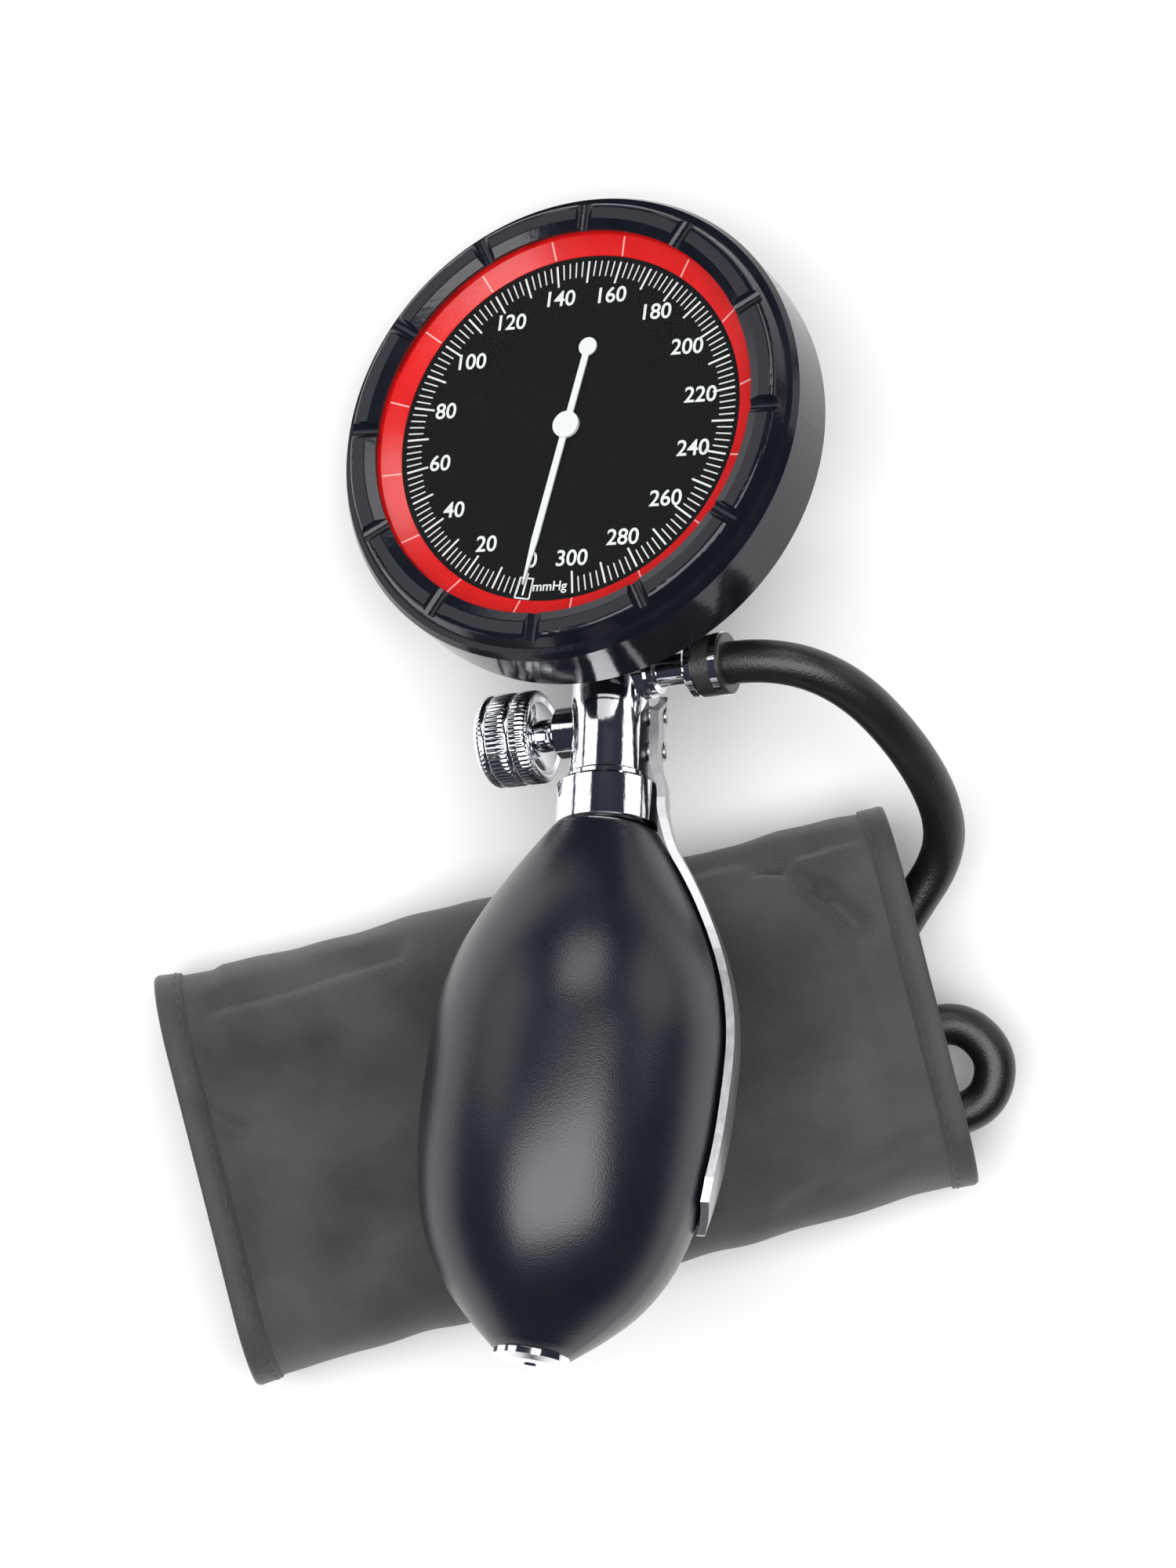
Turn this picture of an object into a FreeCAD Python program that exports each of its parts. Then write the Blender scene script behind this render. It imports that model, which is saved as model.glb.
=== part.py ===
import FreeCAD, Part
import math
import os

import Sketcher

from FreeCAD import Placement, Rotation, Vector

# Palm aneroid blood pressure gauge with its bulb, lying over a rolled arm cuff.
# Frame: origin on the table under the middle of the cuff, +X right, +Y towards the gauge, +Z up.
# The instrument has a frame of its own: the handle's axis is local Y with the bulb towards -Y,
# the dial faces local +Z, and the hose leaves along local +X.

doc = FreeCAD.newDocument("PalmGauge")
sheet = doc.addObject("Spreadsheet::Sheet", "Sizes")

SIZES = {
    # how the instrument and the cuff lie
    "lie_pitch": 19.5,
    "lie_roll": 25.5,
    "lie_yaw": 2.3,
    "lie_right": 9.9,
    "lie_back": 116.8,
    "lie_up": 22.75,
    "dial_turn": 5.0,
    "cuff_turn": 14.3,
    # gauge case, heights along the dial's normal from the handle's axis
    "case_radius": 46.4,
    "crest_height": 28.0,
    "crest_radius": 41.8,
    "lip_radius": 38.3,
    "bezel_foot": 12.5,
    "bezel_wall": 1.6,
    "notch_radius": 1.7,
    "cup_radius": 31.5,
    "cup_floor": -10.5,
    "case_wall": 2.0,
    "dial_height": 23.2,
    "dial_thick": 0.8,
    "dial_edge": 43.4,
    "ring_inner": 34.6,
    "ring_outer": 38.2,
    "crystal_thick": 1.3,
    "gasket_thick": 0.4,
    # movement
    "plate_radius": 28.0,
    "plate_thick": 1.2,
    "lower_level": 8.0,
    "upper_level": 17.0,
    "pillar_radius": 2.0,
    "pillar_circle": 24.0,
    "post_circle": 20.5,
    "gear_module": 0.3,
    "pinion_teeth": 12,
    "gear_ratio": 10,
    "gear_level": 11.4,
    "pointer_sweep": 342.5,
    "pivot_radius": 0.4,
    "arbor_radius": 0.8,
    "tail_length": 3.0,
    "rocker_height": 2.5,
    "rocker_swing": 12.7,
    "capsule_radius": 17.0,
    "pointer_length": 31.8,
    "pointer_tail": 15.8,
    "pointer_width": 1.3,
    # handle
    "neck_radius": 7.75,
    "neck_top": 33.0,
    "neck_end": 62.8,
    "bore_radius": 2.0,
    "spigot_radius": 5.9,
    "nipple_radius": 4.0,
    "collar_radius": 9.5,
    "collar_end": 71.8,
    "valve_axis": 51.5,
    "stem_radius": 3.1,
    "knob_radius": 8.85,
    "knob_inner": 13.5,
    "knob_outer": 25.5,
    "barb_axis": 41.5,
    "barb_radius": 3.0,
    "flange_radius": 5.75,
    "flange_start": 16.3,
    "ferrule_start": 18.3,
    "ferrule_end": 23.9,
    "spoon_angle": 25.0,
    "spoon_thick": 1.4,
    # bulb
    "bulb_length": 98.0,
    "bulb_radius": 27.3,
    "bulb_wall": 2.6,
    "bend_start": 4.0,
    "bend_end": 8.5,
    # cuff and hose
    "cuff_length": 143.0,
    "cuff_height": 31.0,
    "cuff_left": 82.0,
    "cuff_right": 75.0,
    "cover_thick": 2.6,
    "bladder_thick": 2.8,
    "layer_gap": 0.15,
    "hose_radius": 4.0,
    "port_place": -6.0,
}
for row, (alias, number) in enumerate(SIZES.items(), 1):
    sheet.set(f"A{row}", alias)
    sheet.set(f"B{row}", str(number))
    sheet.setAlias(f"B{row}", alias)
doc.recompute()

PARTS = []


def size(alias):
    """Value of one cell of the sheet."""
    return float(sheet.get(alias))


def cell(text):
    """Expression in which every word after # is a cell of the sheet."""
    return str(text).replace("#", "Sizes.")


# ---------------------------------------------------------------- frames of the sub-parts

INSTRUMENT = Placement(
    Vector(size("lie_right"), size("lie_back"), size("lie_up")),
    Rotation(Vector(0, 0, 1), -size("lie_yaw"))
    * Rotation(Vector(1, 0, 0), -size("lie_pitch"))
    * Rotation(Vector(0, 1, 0), -size("lie_roll")),
)
GAUGE = INSTRUMENT * Placement(Vector(), Rotation(Vector(0, 0, 1), -size("dial_turn")))
CUFF = Placement(Vector(), Rotation(Vector(0, 0, 1), size("cuff_turn")))


def at(x, y, z=0.0):
    """A plain shift."""
    return Placement(Vector(x, y, z), Rotation())


# ---------------------------------------------------------------- helpers for bodies


def new_body(label, place):
    """An empty PartDesign body with its label and its place."""
    body = doc.addObject("PartDesign::Body", "Body_" + label)
    body.Label = label
    body.Placement = place
    PARTS.append(body)
    return body


def new_sketch(body, plane, lift=0.0, tilt=0.0):
    """A sketch on one of the body's own origin planes, tilted about its own X axis, then lifted."""
    sketch = body.newObject("Sketcher::SketchObject", "Sketch_" + body.Label)
    support = next(f for f in body.Origin.OriginFeatures if f.Role == plane)
    sketch.AttachmentSupport = (support, [""])
    sketch.MapMode = "FlatFace"
    sketch.AttachmentOffset = Placement(Vector(), Rotation(Vector(1, 0, 0), tilt)) * at(0, 0, lift)
    return sketch


def draw_outline(sketch, points):
    """Closed outline of straight edges, every corner held by two dimensions."""
    count = len(points)
    ring = [
        Vector(10 * math.cos(2 * math.pi * n / count), 10 * math.sin(2 * math.pi * n / count), 0)
        for n in range(count)
    ]
    first = sketch.GeometryCount
    for n in range(count):
        sketch.addGeometry(Part.LineSegment(ring[n], ring[(n + 1) % count]), False)
    for n, (across, up) in enumerate(points):
        edge = first + n
        following = first + (n + 1) % count
        sketch.addConstraint(Sketcher.Constraint("Coincident", edge, 2, following, 1))
        level = sketch.addConstraint(Sketcher.Constraint("DistanceX", edge, 1, ring[n].x))
        sketch.setExpression(f"Constraints[{level}]", cell(across))
        level = sketch.addConstraint(Sketcher.Constraint("DistanceY", edge, 1, ring[n].y))
        sketch.setExpression(f"Constraints[{level}]", cell(up))


def draw_circle(sketch, across, up, radius):
    """Circle held by its centre and its radius."""
    edge = sketch.addGeometry(Part.Circle(Vector(1, 1, 0), Vector(0, 0, 1), 1.0), False)
    place = sketch.addConstraint(Sketcher.Constraint("DistanceX", edge, 3, 1.0))
    sketch.setExpression(f"Constraints[{place}]", cell(across))
    place = sketch.addConstraint(Sketcher.Constraint("DistanceY", edge, 3, 1.0))
    sketch.setExpression(f"Constraints[{place}]", cell(up))
    place = sketch.addConstraint(Sketcher.Constraint("Radius", edge, 1.0))
    sketch.setExpression(f"Constraints[{place}]", cell(radius))


def turn(body, points, plane="XY_Plane", axis="V_Axis"):
    """Revolution of a closed outline by a full turn."""
    sketch = new_sketch(body, plane)
    draw_outline(sketch, points)
    feature = body.newObject("PartDesign::Revolution", "Turn_" + body.Label)
    feature.Profile = sketch
    feature.ReferenceAxis = (sketch, [axis])
    feature.Angle = 360.0
    return feature


def cut_hole(body, plane, lift, across, up, radius, depth, tilt=0.0):
    """Round pocket that runs from a plane of the body along the plane's normal."""
    sketch = new_sketch(body, plane, lift, tilt)
    draw_circle(sketch, across, up, radius)
    pocket = body.newObject("PartDesign::Pocket", "Hole_" + body.Label)
    pocket.Profile = sketch
    pocket.Type = 0
    pocket.Reversed = True
    pocket.setExpression("Length", cell(depth))
    return pocket


def add_disc(body, plane, lift, across, up, radius, length):
    """Round pad from a plane of the body along the plane's normal."""
    sketch = new_sketch(body, plane, lift)
    draw_circle(sketch, across, up, radius)
    pad = body.newObject("PartDesign::Pad", "Pad_" + body.Label)
    pad.Profile = sketch
    pad.setExpression("Length", cell(length))
    return pad


def repeat_round(body, features, count):
    """The same features repeated round the body's Z axis."""
    pattern = body.newObject("PartDesign::PolarPattern", "Round_" + body.Label)
    pattern.Originals = features
    support = next(f for f in body.Origin.OriginFeatures if f.Role == "Z_Axis")
    pattern.Axis = (support, [""])
    pattern.Angle = 360.0
    pattern.Occurrences = count
    body.Tip = pattern
    return pattern


def soften(body, radius, chosen):
    """Fillet on the edges of the body's last feature that a test picks."""
    doc.recompute()
    base = body.Tip
    names = [f"Edge{n}" for n, edge in enumerate(base.Shape.Edges, 1) if chosen(edge)]
    fillet = body.newObject("PartDesign::Fillet", "Soft_" + body.Label)
    fillet.Base = (base, names)
    fillet.Radius = radius
    return fillet


def is_ring(edge, radius, height):
    """True for a circle of this radius at this height on the body's Z axis."""
    curve = edge.Curve
    if curve.TypeId != "Part::GeomCircle":
        return False
    return abs(curve.Radius - radius) < 0.05 and abs(curve.Center.z - height) < 0.05


def free_shape(label, shape, place):
    """A sub-part whose shape is made directly, then put in its place."""
    feature = doc.addObject("Part::Feature", "Shape_" + label)
    feature.Label = label
    feature.Shape = shape
    feature.Placement = place
    PARTS.append(feature)
    return feature


def cylinder(name, radius, height, place=None):
    """Part cylinder along its local Z, sizes bound to the sheet."""
    solid = doc.addObject("Part::Cylinder", name)
    solid.setExpression("Radius", cell(radius))
    solid.setExpression("Height", cell(height))
    if place is not None:
        solid.Placement = place
    return solid


def fused(label, pieces, place):
    """Union of Part primitives as one sub-part."""
    fuse = doc.addObject("Part::MultiFuse", "Fuse_" + label)
    fuse.Shapes = pieces
    fuse.Label = label
    fuse.Placement = place
    PARTS.append(fuse)
    return fuse


def pierced(label, base, tool, place):
    """Difference of two Part primitives as one sub-part."""
    cut = doc.addObject("Part::Cut", "Cut_" + label)
    cut.Base = base
    cut.Tool = tool
    cut.Label = label
    cut.Placement = place
    PARTS.append(cut)
    return cut


# ---------------------------------------------------------------- gauge case


def make_rear_case():
    """Stepped cup with a wide front rim, a boss for the handle and three screw holes."""
    body = new_body("rear_case", INSTRUMENT)
    turn(body, [
        ("0", "#cup_floor"),
        ("#cup_radius - 5", "#cup_floor"),
        ("#cup_radius - 1", "#cup_floor + 4"),
        ("#cup_radius", "7.9"),
        ("#cup_radius + 4", "7.9"),
        ("#case_radius - 2", "8.9"),
        ("#case_radius - 0.2", "#bezel_foot - 2"),
        ("#case_radius - 0.2", "#bezel_foot - 0.1"),
        ("#case_radius - #bezel_wall - 0.1", "#bezel_foot - 0.1"),
        ("#case_radius - #bezel_wall - 0.1", "#dial_height - #dial_thick"),
        ("#dial_edge - 2.4", "#dial_height - #dial_thick"),
        ("#dial_edge - 2.4", "10.9"),
        ("#cup_radius + 3", "9.9"),
        ("#cup_radius - #case_wall", "9.6"),
        ("#cup_radius - 1 - #case_wall", "#cup_floor + 4.6"),
        ("#cup_radius - 6", "#cup_floor + #case_wall"),
        ("0", "#cup_floor + #case_wall"),
    ], "XZ_Plane")
    soften(body, 1.6, lambda e: is_ring(e, size("cup_radius") - 5, size("cup_floor"))
           or is_ring(e, size("cup_radius") - 1, size("cup_floor") + 4))
    add_disc(body, "XZ_Plane", size("neck_top") - 8, "0", "0", "#spigot_radius + 1.9", "8")
    cut_hole(body, "XZ_Plane", size("neck_top") - 10, "0", "0", "#spigot_radius + 0.05", "12")
    shank = cut_hole(body, "XY_Plane", size("cup_floor") - 1, "#post_circle", "0", "1.5", "5")
    repeat_round(body, [shank], 3)
    head = cut_hole(body, "XY_Plane", size("cup_floor") - 1, "#post_circle", "0", "2.8", "2.2")
    repeat_round(body, [head], 3)
    return body


def make_bezel():
    """Front ring: a rounded crest cut by twelve finger notches, a valley and a plain side wall."""
    body = new_body("bezel", GAUGE)
    underside = "#dial_height + 1"
    turn(body, [
        ("#case_radius - #bezel_wall", "#bezel_foot"),
        ("#case_radius", "#bezel_foot"),
        ("#case_radius", "#crest_height - 4.6"),
        ("#case_radius - 0.8", "#crest_height - 3.2"),
        ("#case_radius - 1.9", "#crest_height - 3.0"),
        ("#crest_radius + 1.3", "#crest_height"),
        ("#crest_radius - 1.5", "#crest_height"),
        ("#lip_radius", "#crest_height - 0.9"),
        ("#lip_radius", "#crest_height - 1.4"),
        ("#lip_radius + 1.4", "#crest_height - 1.4"),
        ("#lip_radius + 1.4", underside),
        ("#case_radius - #bezel_wall", underside),
    ], "XZ_Plane")
    soften(body, 1.1, lambda e: is_ring(e, size("crest_radius") + 1.3, size("crest_height")))
    soften(body, 0.8, lambda e: is_ring(e, size("crest_radius") - 1.5, size("crest_height")))
    notch = cut_hole(body, "YZ_Plane", 0, "0", "#crest_height + 0.3", "#notch_radius", "#case_radius - 1.6")
    notch.Reversed = True
    repeat_round(body, [notch], 12)
    return body


def make_front():
    """Dial plate, chapter ring, window and gasket, stacked inside the bezel."""
    body = new_body("dial_plate", GAUGE)
    turn(body, [
        ("2", "#dial_height - #dial_thick"),
        ("#dial_edge", "#dial_height - #dial_thick"),
        ("#dial_edge", "#dial_height"),
        ("2", "#dial_height"),
    ], "XZ_Plane")
    window_seat = "#crest_height - 1.4 - #gasket_thick - #crystal_thick"
    body = new_body("chapter_ring", GAUGE)
    turn(body, [
        ("#ring_inner", "#dial_height"),
        ("#dial_edge", "#dial_height"),
        ("#dial_edge", "#dial_height + 0.9"),
        ("#ring_outer + 1.4", "#dial_height + 0.9"),
        ("#ring_outer + 1.4", window_seat),
        ("#ring_outer", window_seat),
        ("#ring_inner", "#dial_height + 0.25"),
    ], "XZ_Plane")
    window = cylinder("crystal_disc", "#lip_radius + 1.3", "#crystal_thick")
    window.Label = "crystal"
    seat = size("crest_height") - 1.4 - size("gasket_thick") - size("crystal_thick")
    window.Placement = GAUGE * at(0, 0, seat)
    PARTS.append(window)
    ring = cylinder("gasket_ring", "#lip_radius + 1.3", "#gasket_thick")
    middle = cylinder("gasket_middle", "#lip_radius + 0.1", "#gasket_thick")
    pierced("crystal_gasket", ring, middle, GAUGE * at(0, 0, seat + size("crystal_thick")))


# ---------------------------------------------------------------- movement


def make_plates():
    """Two round plates on posts and pillars, bored for the arbors; the lower one has bearing ears."""
    pivot = sector_pivot()
    lower = new_body("lower_plate", GAUGE)
    add_disc(lower, "XY_Plane", size("lower_level"), "0", "0", "#plate_radius", "#plate_thick")
    below = size("lower_level") - 0.5
    for across, up in ((0.0, 0.0), (pivot.x, pivot.y)):
        cut_hole(lower, "XY_Plane", below, across, up, "#pivot_radius + 0.05", "#plate_thick + 1")
    window = new_sketch(lower, "XY_Plane", below)
    draw_outline(window, [
        (pivot.x - 5.0, pivot.y - 1.6),
        (pivot.x - 1.2, pivot.y - 1.6),
        (pivot.x - 1.2, pivot.y + 3.2),
        (pivot.x - 5.0, pivot.y + 3.2),
    ])
    opening = lower.newObject("PartDesign::Pocket", "Window_lower_plate")
    opening.Profile = window
    opening.Reversed = True
    opening.setExpression("Length", cell("#plate_thick + 1"))
    for ear_start in (pivot.x - 6.4, 2.2):
        ear = new_sketch(lower, "YZ_Plane", ear_start)
        draw_outline(ear, [
            (pivot.y - 1.8, "#rocker_height - 1.8"),
            (pivot.y + 1.8, "#rocker_height - 1.8"),
            (pivot.y + 1.8, "#lower_level"),
            (pivot.y - 1.8, "#lower_level"),
        ])
        pad = lower.newObject("PartDesign::Pad", "Ear_lower_plate")
        pad.Profile = ear
        pad.Length = 1.0
    cut_hole(lower, "YZ_Plane", pivot.x - 7, pivot.y, "#rocker_height", "1.0", "26")
    upper = new_body("upper_plate", GAUGE)
    add_disc(upper, "XY_Plane", size("upper_level"), "0", "0", "#plate_radius", "#plate_thick")
    below = size("upper_level") - 0.5
    cut_hole(upper, "XY_Plane", below, "0", "0", "#arbor_radius + 0.05", "#plate_thick + 1")
    cut_hole(upper, "XY_Plane", below, pivot.x, pivot.y, "#pivot_radius + 0.05", "#plate_thick + 1")


def make_supports():
    """Three posts with their case screws below the lower plate, three pillars above it."""
    floor = size("cup_floor") + size("case_wall")
    gap = size("upper_level") - size("lower_level") - size("plate_thick")
    for n in range(3):
        angle = math.radians(120 * n)
        across = size("post_circle") * math.cos(angle)
        up = size("post_circle") * math.sin(angle)
        post = cylinder(f"post_rod_{n}", "2.0", f"{size('lower_level') - floor}")
        thread = cylinder(f"post_thread_{n}", "1.5", "6.0")
        pierced(f"movement_post_{n + 1}", post, thread, INSTRUMENT * at(across, up, floor))
        head = cylinder(f"screw_head_{n}", "2.7", "1.1")
        shank = cylinder(f"screw_shank_{n}", "1.45", "6.4")
        fused(f"case_screw_{n + 1}", [head, shank], INSTRUMENT * at(across, up, size("cup_floor") + 0.1))
        spread = math.radians(60 + 120 * n)
        pillar = cylinder(f"pillar_{n}", "#pillar_radius", f"{gap}")
        pillar.Label = f"plate_pillar_{n + 1}"
        pillar.Placement = GAUGE * at(
            size("pillar_circle") * math.cos(spread),
            size("pillar_circle") * math.sin(spread),
            size("lower_level") + size("plate_thick"),
        )
        PARTS.append(pillar)


def sector_pivot():
    """Centre of the sector's arbor: its pitch circle touches the pinion's, on a diagonal."""
    pitch = size("gear_module") * size("pinion_teeth") / 2
    reach = pitch * (1 + size("gear_ratio")) / math.sqrt(2)
    return Vector(-reach, -reach, 0)


def tooth_ring(centre, pitch, root, tip, middles, tooth_half):
    """Corner points of straight-sided teeth round a centre."""
    points = []
    for middle in middles:
        for radius, half in ((root, 1.35), (tip, 0.55)):
            points.append((radius, middle - tooth_half * half / pitch))
        for radius, half in ((tip, 0.55), (root, 1.35)):
            points.append((radius, middle + tooth_half * half / pitch))
    return [centre + Vector(r * math.cos(a), r * math.sin(a), 0) for r, a in points]


def slab(points, bottom, thick):
    """Flat plate of a closed outline."""
    wire = Part.makePolygon([Vector(p.x, p.y, bottom) for p in points + points[:1]])
    return Part.Face(wire).extrude(Vector(0, 0, thick))


def make_gears():
    """Sector gear on its arbor and the pinion arbor that it drives, in mesh at rest."""
    module = size("gear_module")
    pinion_pitch = module * size("pinion_teeth") / 2
    sector_pitch = pinion_pitch * size("gear_ratio")
    swing = math.radians(size("pointer_sweep") / size("gear_ratio"))
    pivot = sector_pivot()
    tooth_half = 0.6 * module
    pitch_angle = 2 * math.pi / (size("pinion_teeth") * size("gear_ratio"))
    facing = math.pi / 4 - swing / 2
    count = int((swing + math.radians(12)) / pitch_angle) // 2
    middles = [facing + (n + 0.5) * pitch_angle for n in range(-count - 1, count + 1)]
    rim = tooth_ring(pivot, sector_pitch, sector_pitch - 2.5 * module / 2, sector_pitch + 0.8 * module,
                     middles, tooth_half)
    level = size("gear_level")
    hub = Part.makeCylinder(2.2, size("plate_thick"), Vector(pivot.x, pivot.y, level))
    tail_angle = math.pi - swing / 2
    tail_end = pivot + size("tail_length") * Vector(math.cos(tail_angle), math.sin(tail_angle), 0)
    pad = Part.makeCylinder(0.9, size("plate_thick"), Vector(tail_end.x, tail_end.y, level))
    pin = Part.makeCylinder(0.4, 1.2, Vector(tail_end.x, tail_end.y, level - 1.1))
    wedge = slab([pivot] + rim, level, size("plate_thick"))
    bore = Part.makeCylinder(size("arbor_radius"), 4, Vector(pivot.x, pivot.y, level - 1))
    sector = wedge.fuse([hub, pad, pin]).cut(bore).removeSplitter()
    free_shape("sector_gear", sector, GAUGE)

    arbor = new_body("sector_arbor", GAUGE * at(pivot.x, pivot.y, 0))
    turn(arbor, [
        ("0", "#lower_level + 0.2"),
        ("#pivot_radius", "#lower_level + 0.2"),
        ("#pivot_radius", "#lower_level + #plate_thick + 0.1"),
        ("#arbor_radius", "#lower_level + #plate_thick + 0.1"),
        ("#arbor_radius", "#upper_level - 0.1"),
        ("#pivot_radius", "#upper_level - 0.1"),
        ("#pivot_radius", "#upper_level + #plate_thick - 0.1"),
        ("0", "#upper_level + #plate_thick - 0.1"),
    ], "XZ_Plane")

    pinion_turn = math.radians(225) + size("gear_ratio") * swing / 2
    middles = [pinion_turn + 2 * math.pi * n / size("pinion_teeth") for n in range(int(size("pinion_teeth")))]
    leaves = tooth_ring(Vector(), pinion_pitch, pinion_pitch - 1.3 * module, pinion_pitch + 0.8 * module,
                        middles, tooth_half)
    foot = size("lower_level") + size("plate_thick") + 0.1
    staff = Part.makeCylinder(size("pivot_radius"), size("plate_thick"), Vector(0, 0, size("lower_level") + 0.2))
    lower = Part.makeCylinder(1.3, level - 0.9 - foot, Vector(0, 0, foot))
    rod = Part.makeCylinder(size("arbor_radius"), size("dial_height") + 0.8 - level, Vector(0, 0, level))
    pinion = slab(leaves, level - 1.0, size("plate_thick") + 2.0)
    free_shape("pinion_arbor", staff.fuse([lower, rod, pinion]).removeSplitter(), GAUGE)


def make_pointer():
    """Long white hand with a disc tail, resting on the 0 mark."""
    level = size("dial_height") + 0.8
    gap = 360 - size("pointer_sweep")
    broad, tip = size("pointer_width") / 2, 0.1
    needle = slab([
        Vector(-broad, 2.0, 0), Vector(broad, 2.0, 0),
        Vector(broad, -size("pointer_length") + 9, 0),
        Vector(tip, -size("pointer_length"), 0),
        Vector(-tip, -size("pointer_length"), 0),
        Vector(-broad, -size("pointer_length") + 9, 0),
    ], level, 0.35)
    tail = slab([
        Vector(-broad, 0, 0), Vector(broad, 0, 0),
        Vector(broad, size("pointer_tail"), 0), Vector(-broad, size("pointer_tail"), 0),
    ], level, 0.35)
    disc = Part.makeCylinder(1.8, 0.35, Vector(0, size("pointer_tail"), level))
    hub = Part.makeCylinder(2.6, 0.7, Vector(0, 0, level))
    hand = needle.fuse([tail, disc, hub]).removeSplitter()
    turned = GAUGE * Placement(Vector(), Rotation(Vector(0, 0, 1), -gap / 2))
    free_shape("pointer", hand, turned)


def make_hairspring():
    """Flat spiral strip round the pinion arbor and the stud that holds its outer end."""
    level = size("upper_level") + size("plate_thick") + 0.7
    inner, outer, turns, half = 1.8, 7.5, 3.5, 0.12
    steps = 60

    def spiral(shift):
        curve = Part.BSplineCurve()
        points = []
        for n in range(steps + 1):
            angle = 2 * math.pi * turns * n / steps
            radius = inner + (outer - inner) * n / steps + shift
            points.append(Vector(radius * math.cos(angle), radius * math.sin(angle), level))
        curve.interpolate(points)
        return curve.toShape()

    near = spiral(-half)
    far = spiral(half)
    ends = [
        Part.makeLine(near.valueAt(near.FirstParameter), far.valueAt(far.FirstParameter)),
        Part.makeLine(near.valueAt(near.LastParameter), far.valueAt(far.LastParameter)),
    ]
    wire = Part.Wire(Part.__sortEdges__([near, ends[1], far, ends[0]]))
    free_shape("hairspring", Part.Face(wire).extrude(Vector(0, 0, 0.6)), GAUGE)
    stud = cylinder("stud_rod", "0.6", "1.6")
    stud.Label = "hairspring_stud"
    stud.Placement = GAUGE * at(-outer - half - 0.6, 0, size("upper_level") + size("plate_thick"))
    PARTS.append(stud)


def make_rocker():
    """Rocking shaft: one arm over the capsule's stem, one blade behind the sector's tail pin."""
    pivot = sector_pivot()
    tail_x = pivot.x - size("tail_length")
    shaft = Part.makeCylinder(0.95, 3.1 - (pivot.x - 6.3), Vector(pivot.x - 6.3, 0, 0), Vector(1, 0, 0))
    arm = Part.makeBox(3.0, -pivot.y + 1.6, 0.8, Vector(-1.5, 0, -0.4))
    reach = size("gear_level") - 0.3 - size("rocker_height")
    blade = Part.makeBox(2.2, 0.8, reach, Vector(tail_x - 1.1, 0.6, 0))
    rocker = shaft.fuse([arm, blade]).removeSplitter()
    place = GAUGE * Placement(
        Vector(0, pivot.y, size("rocker_height")),
        Rotation(Vector(1, 0, 0), -size("rocker_swing") / 2),
    )
    free_shape("rocking_shaft", rocker, place)


def make_capsule():
    """Pressure capsule on its mount, with the stem that lifts the rocking shaft's arm."""
    body = new_body("capsule", GAUGE)
    turn(body, [
        ("0", "-6.4"),
        ("4.2", "-6.4"),
        ("#capsule_radius", "-4.6"),
        ("#capsule_radius", "-3.8"),
        ("4", "-2.0"),
        ("3.4", "-1.2"),
        ("0", "-1.2"),
    ], "XZ_Plane")
    mount = cylinder("mount_rod", "4.2", "2.1")
    mount.Label = "capsule_mount"
    mount.Placement = GAUGE * at(0, 0, size("cup_floor") + size("case_wall"))
    PARTS.append(mount)
    reach = -sector_pivot().y
    lift = reach * math.sin(math.radians(size("rocker_swing") / 2))
    top = size("rocker_height") - lift - 0.4 - 0.15
    foot = cylinder("stem_foot", "3.0", "0.5")
    rod = cylinder("stem_rod", "1.0", f"{top + 1.15}")
    fused("capsule_stem", [foot, rod], GAUGE * at(0, 0, -1.15))


def make_pressure_pipe():
    """Thin pipe that feeds the capsule's mount from the handle's bore."""
    start = size("neck_top") - 8
    points = [
        Vector(0, -start, 0),
        Vector(0, -start + 3.5, 0),
        Vector(0, -start + 5.5, -7.3),
        Vector(0, -4.2, -7.4),
    ]
    path = rounded_path(points)[0]
    section = Part.Wire(Part.Circle(points[0], Vector(0, 1, 0), 0.85).toShape())
    plug = Part.makeCylinder(size("bore_radius") - 0.04, 2.5, Vector(0, -start - 2, 0), Vector(0, 1, 0))
    pipe = path.makePipeShell([section], True, False).fuse(plug).removeSplitter()
    free_shape("pressure_pipe", pipe, INSTRUMENT)


# ---------------------------------------------------------------- handle and valves


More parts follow.
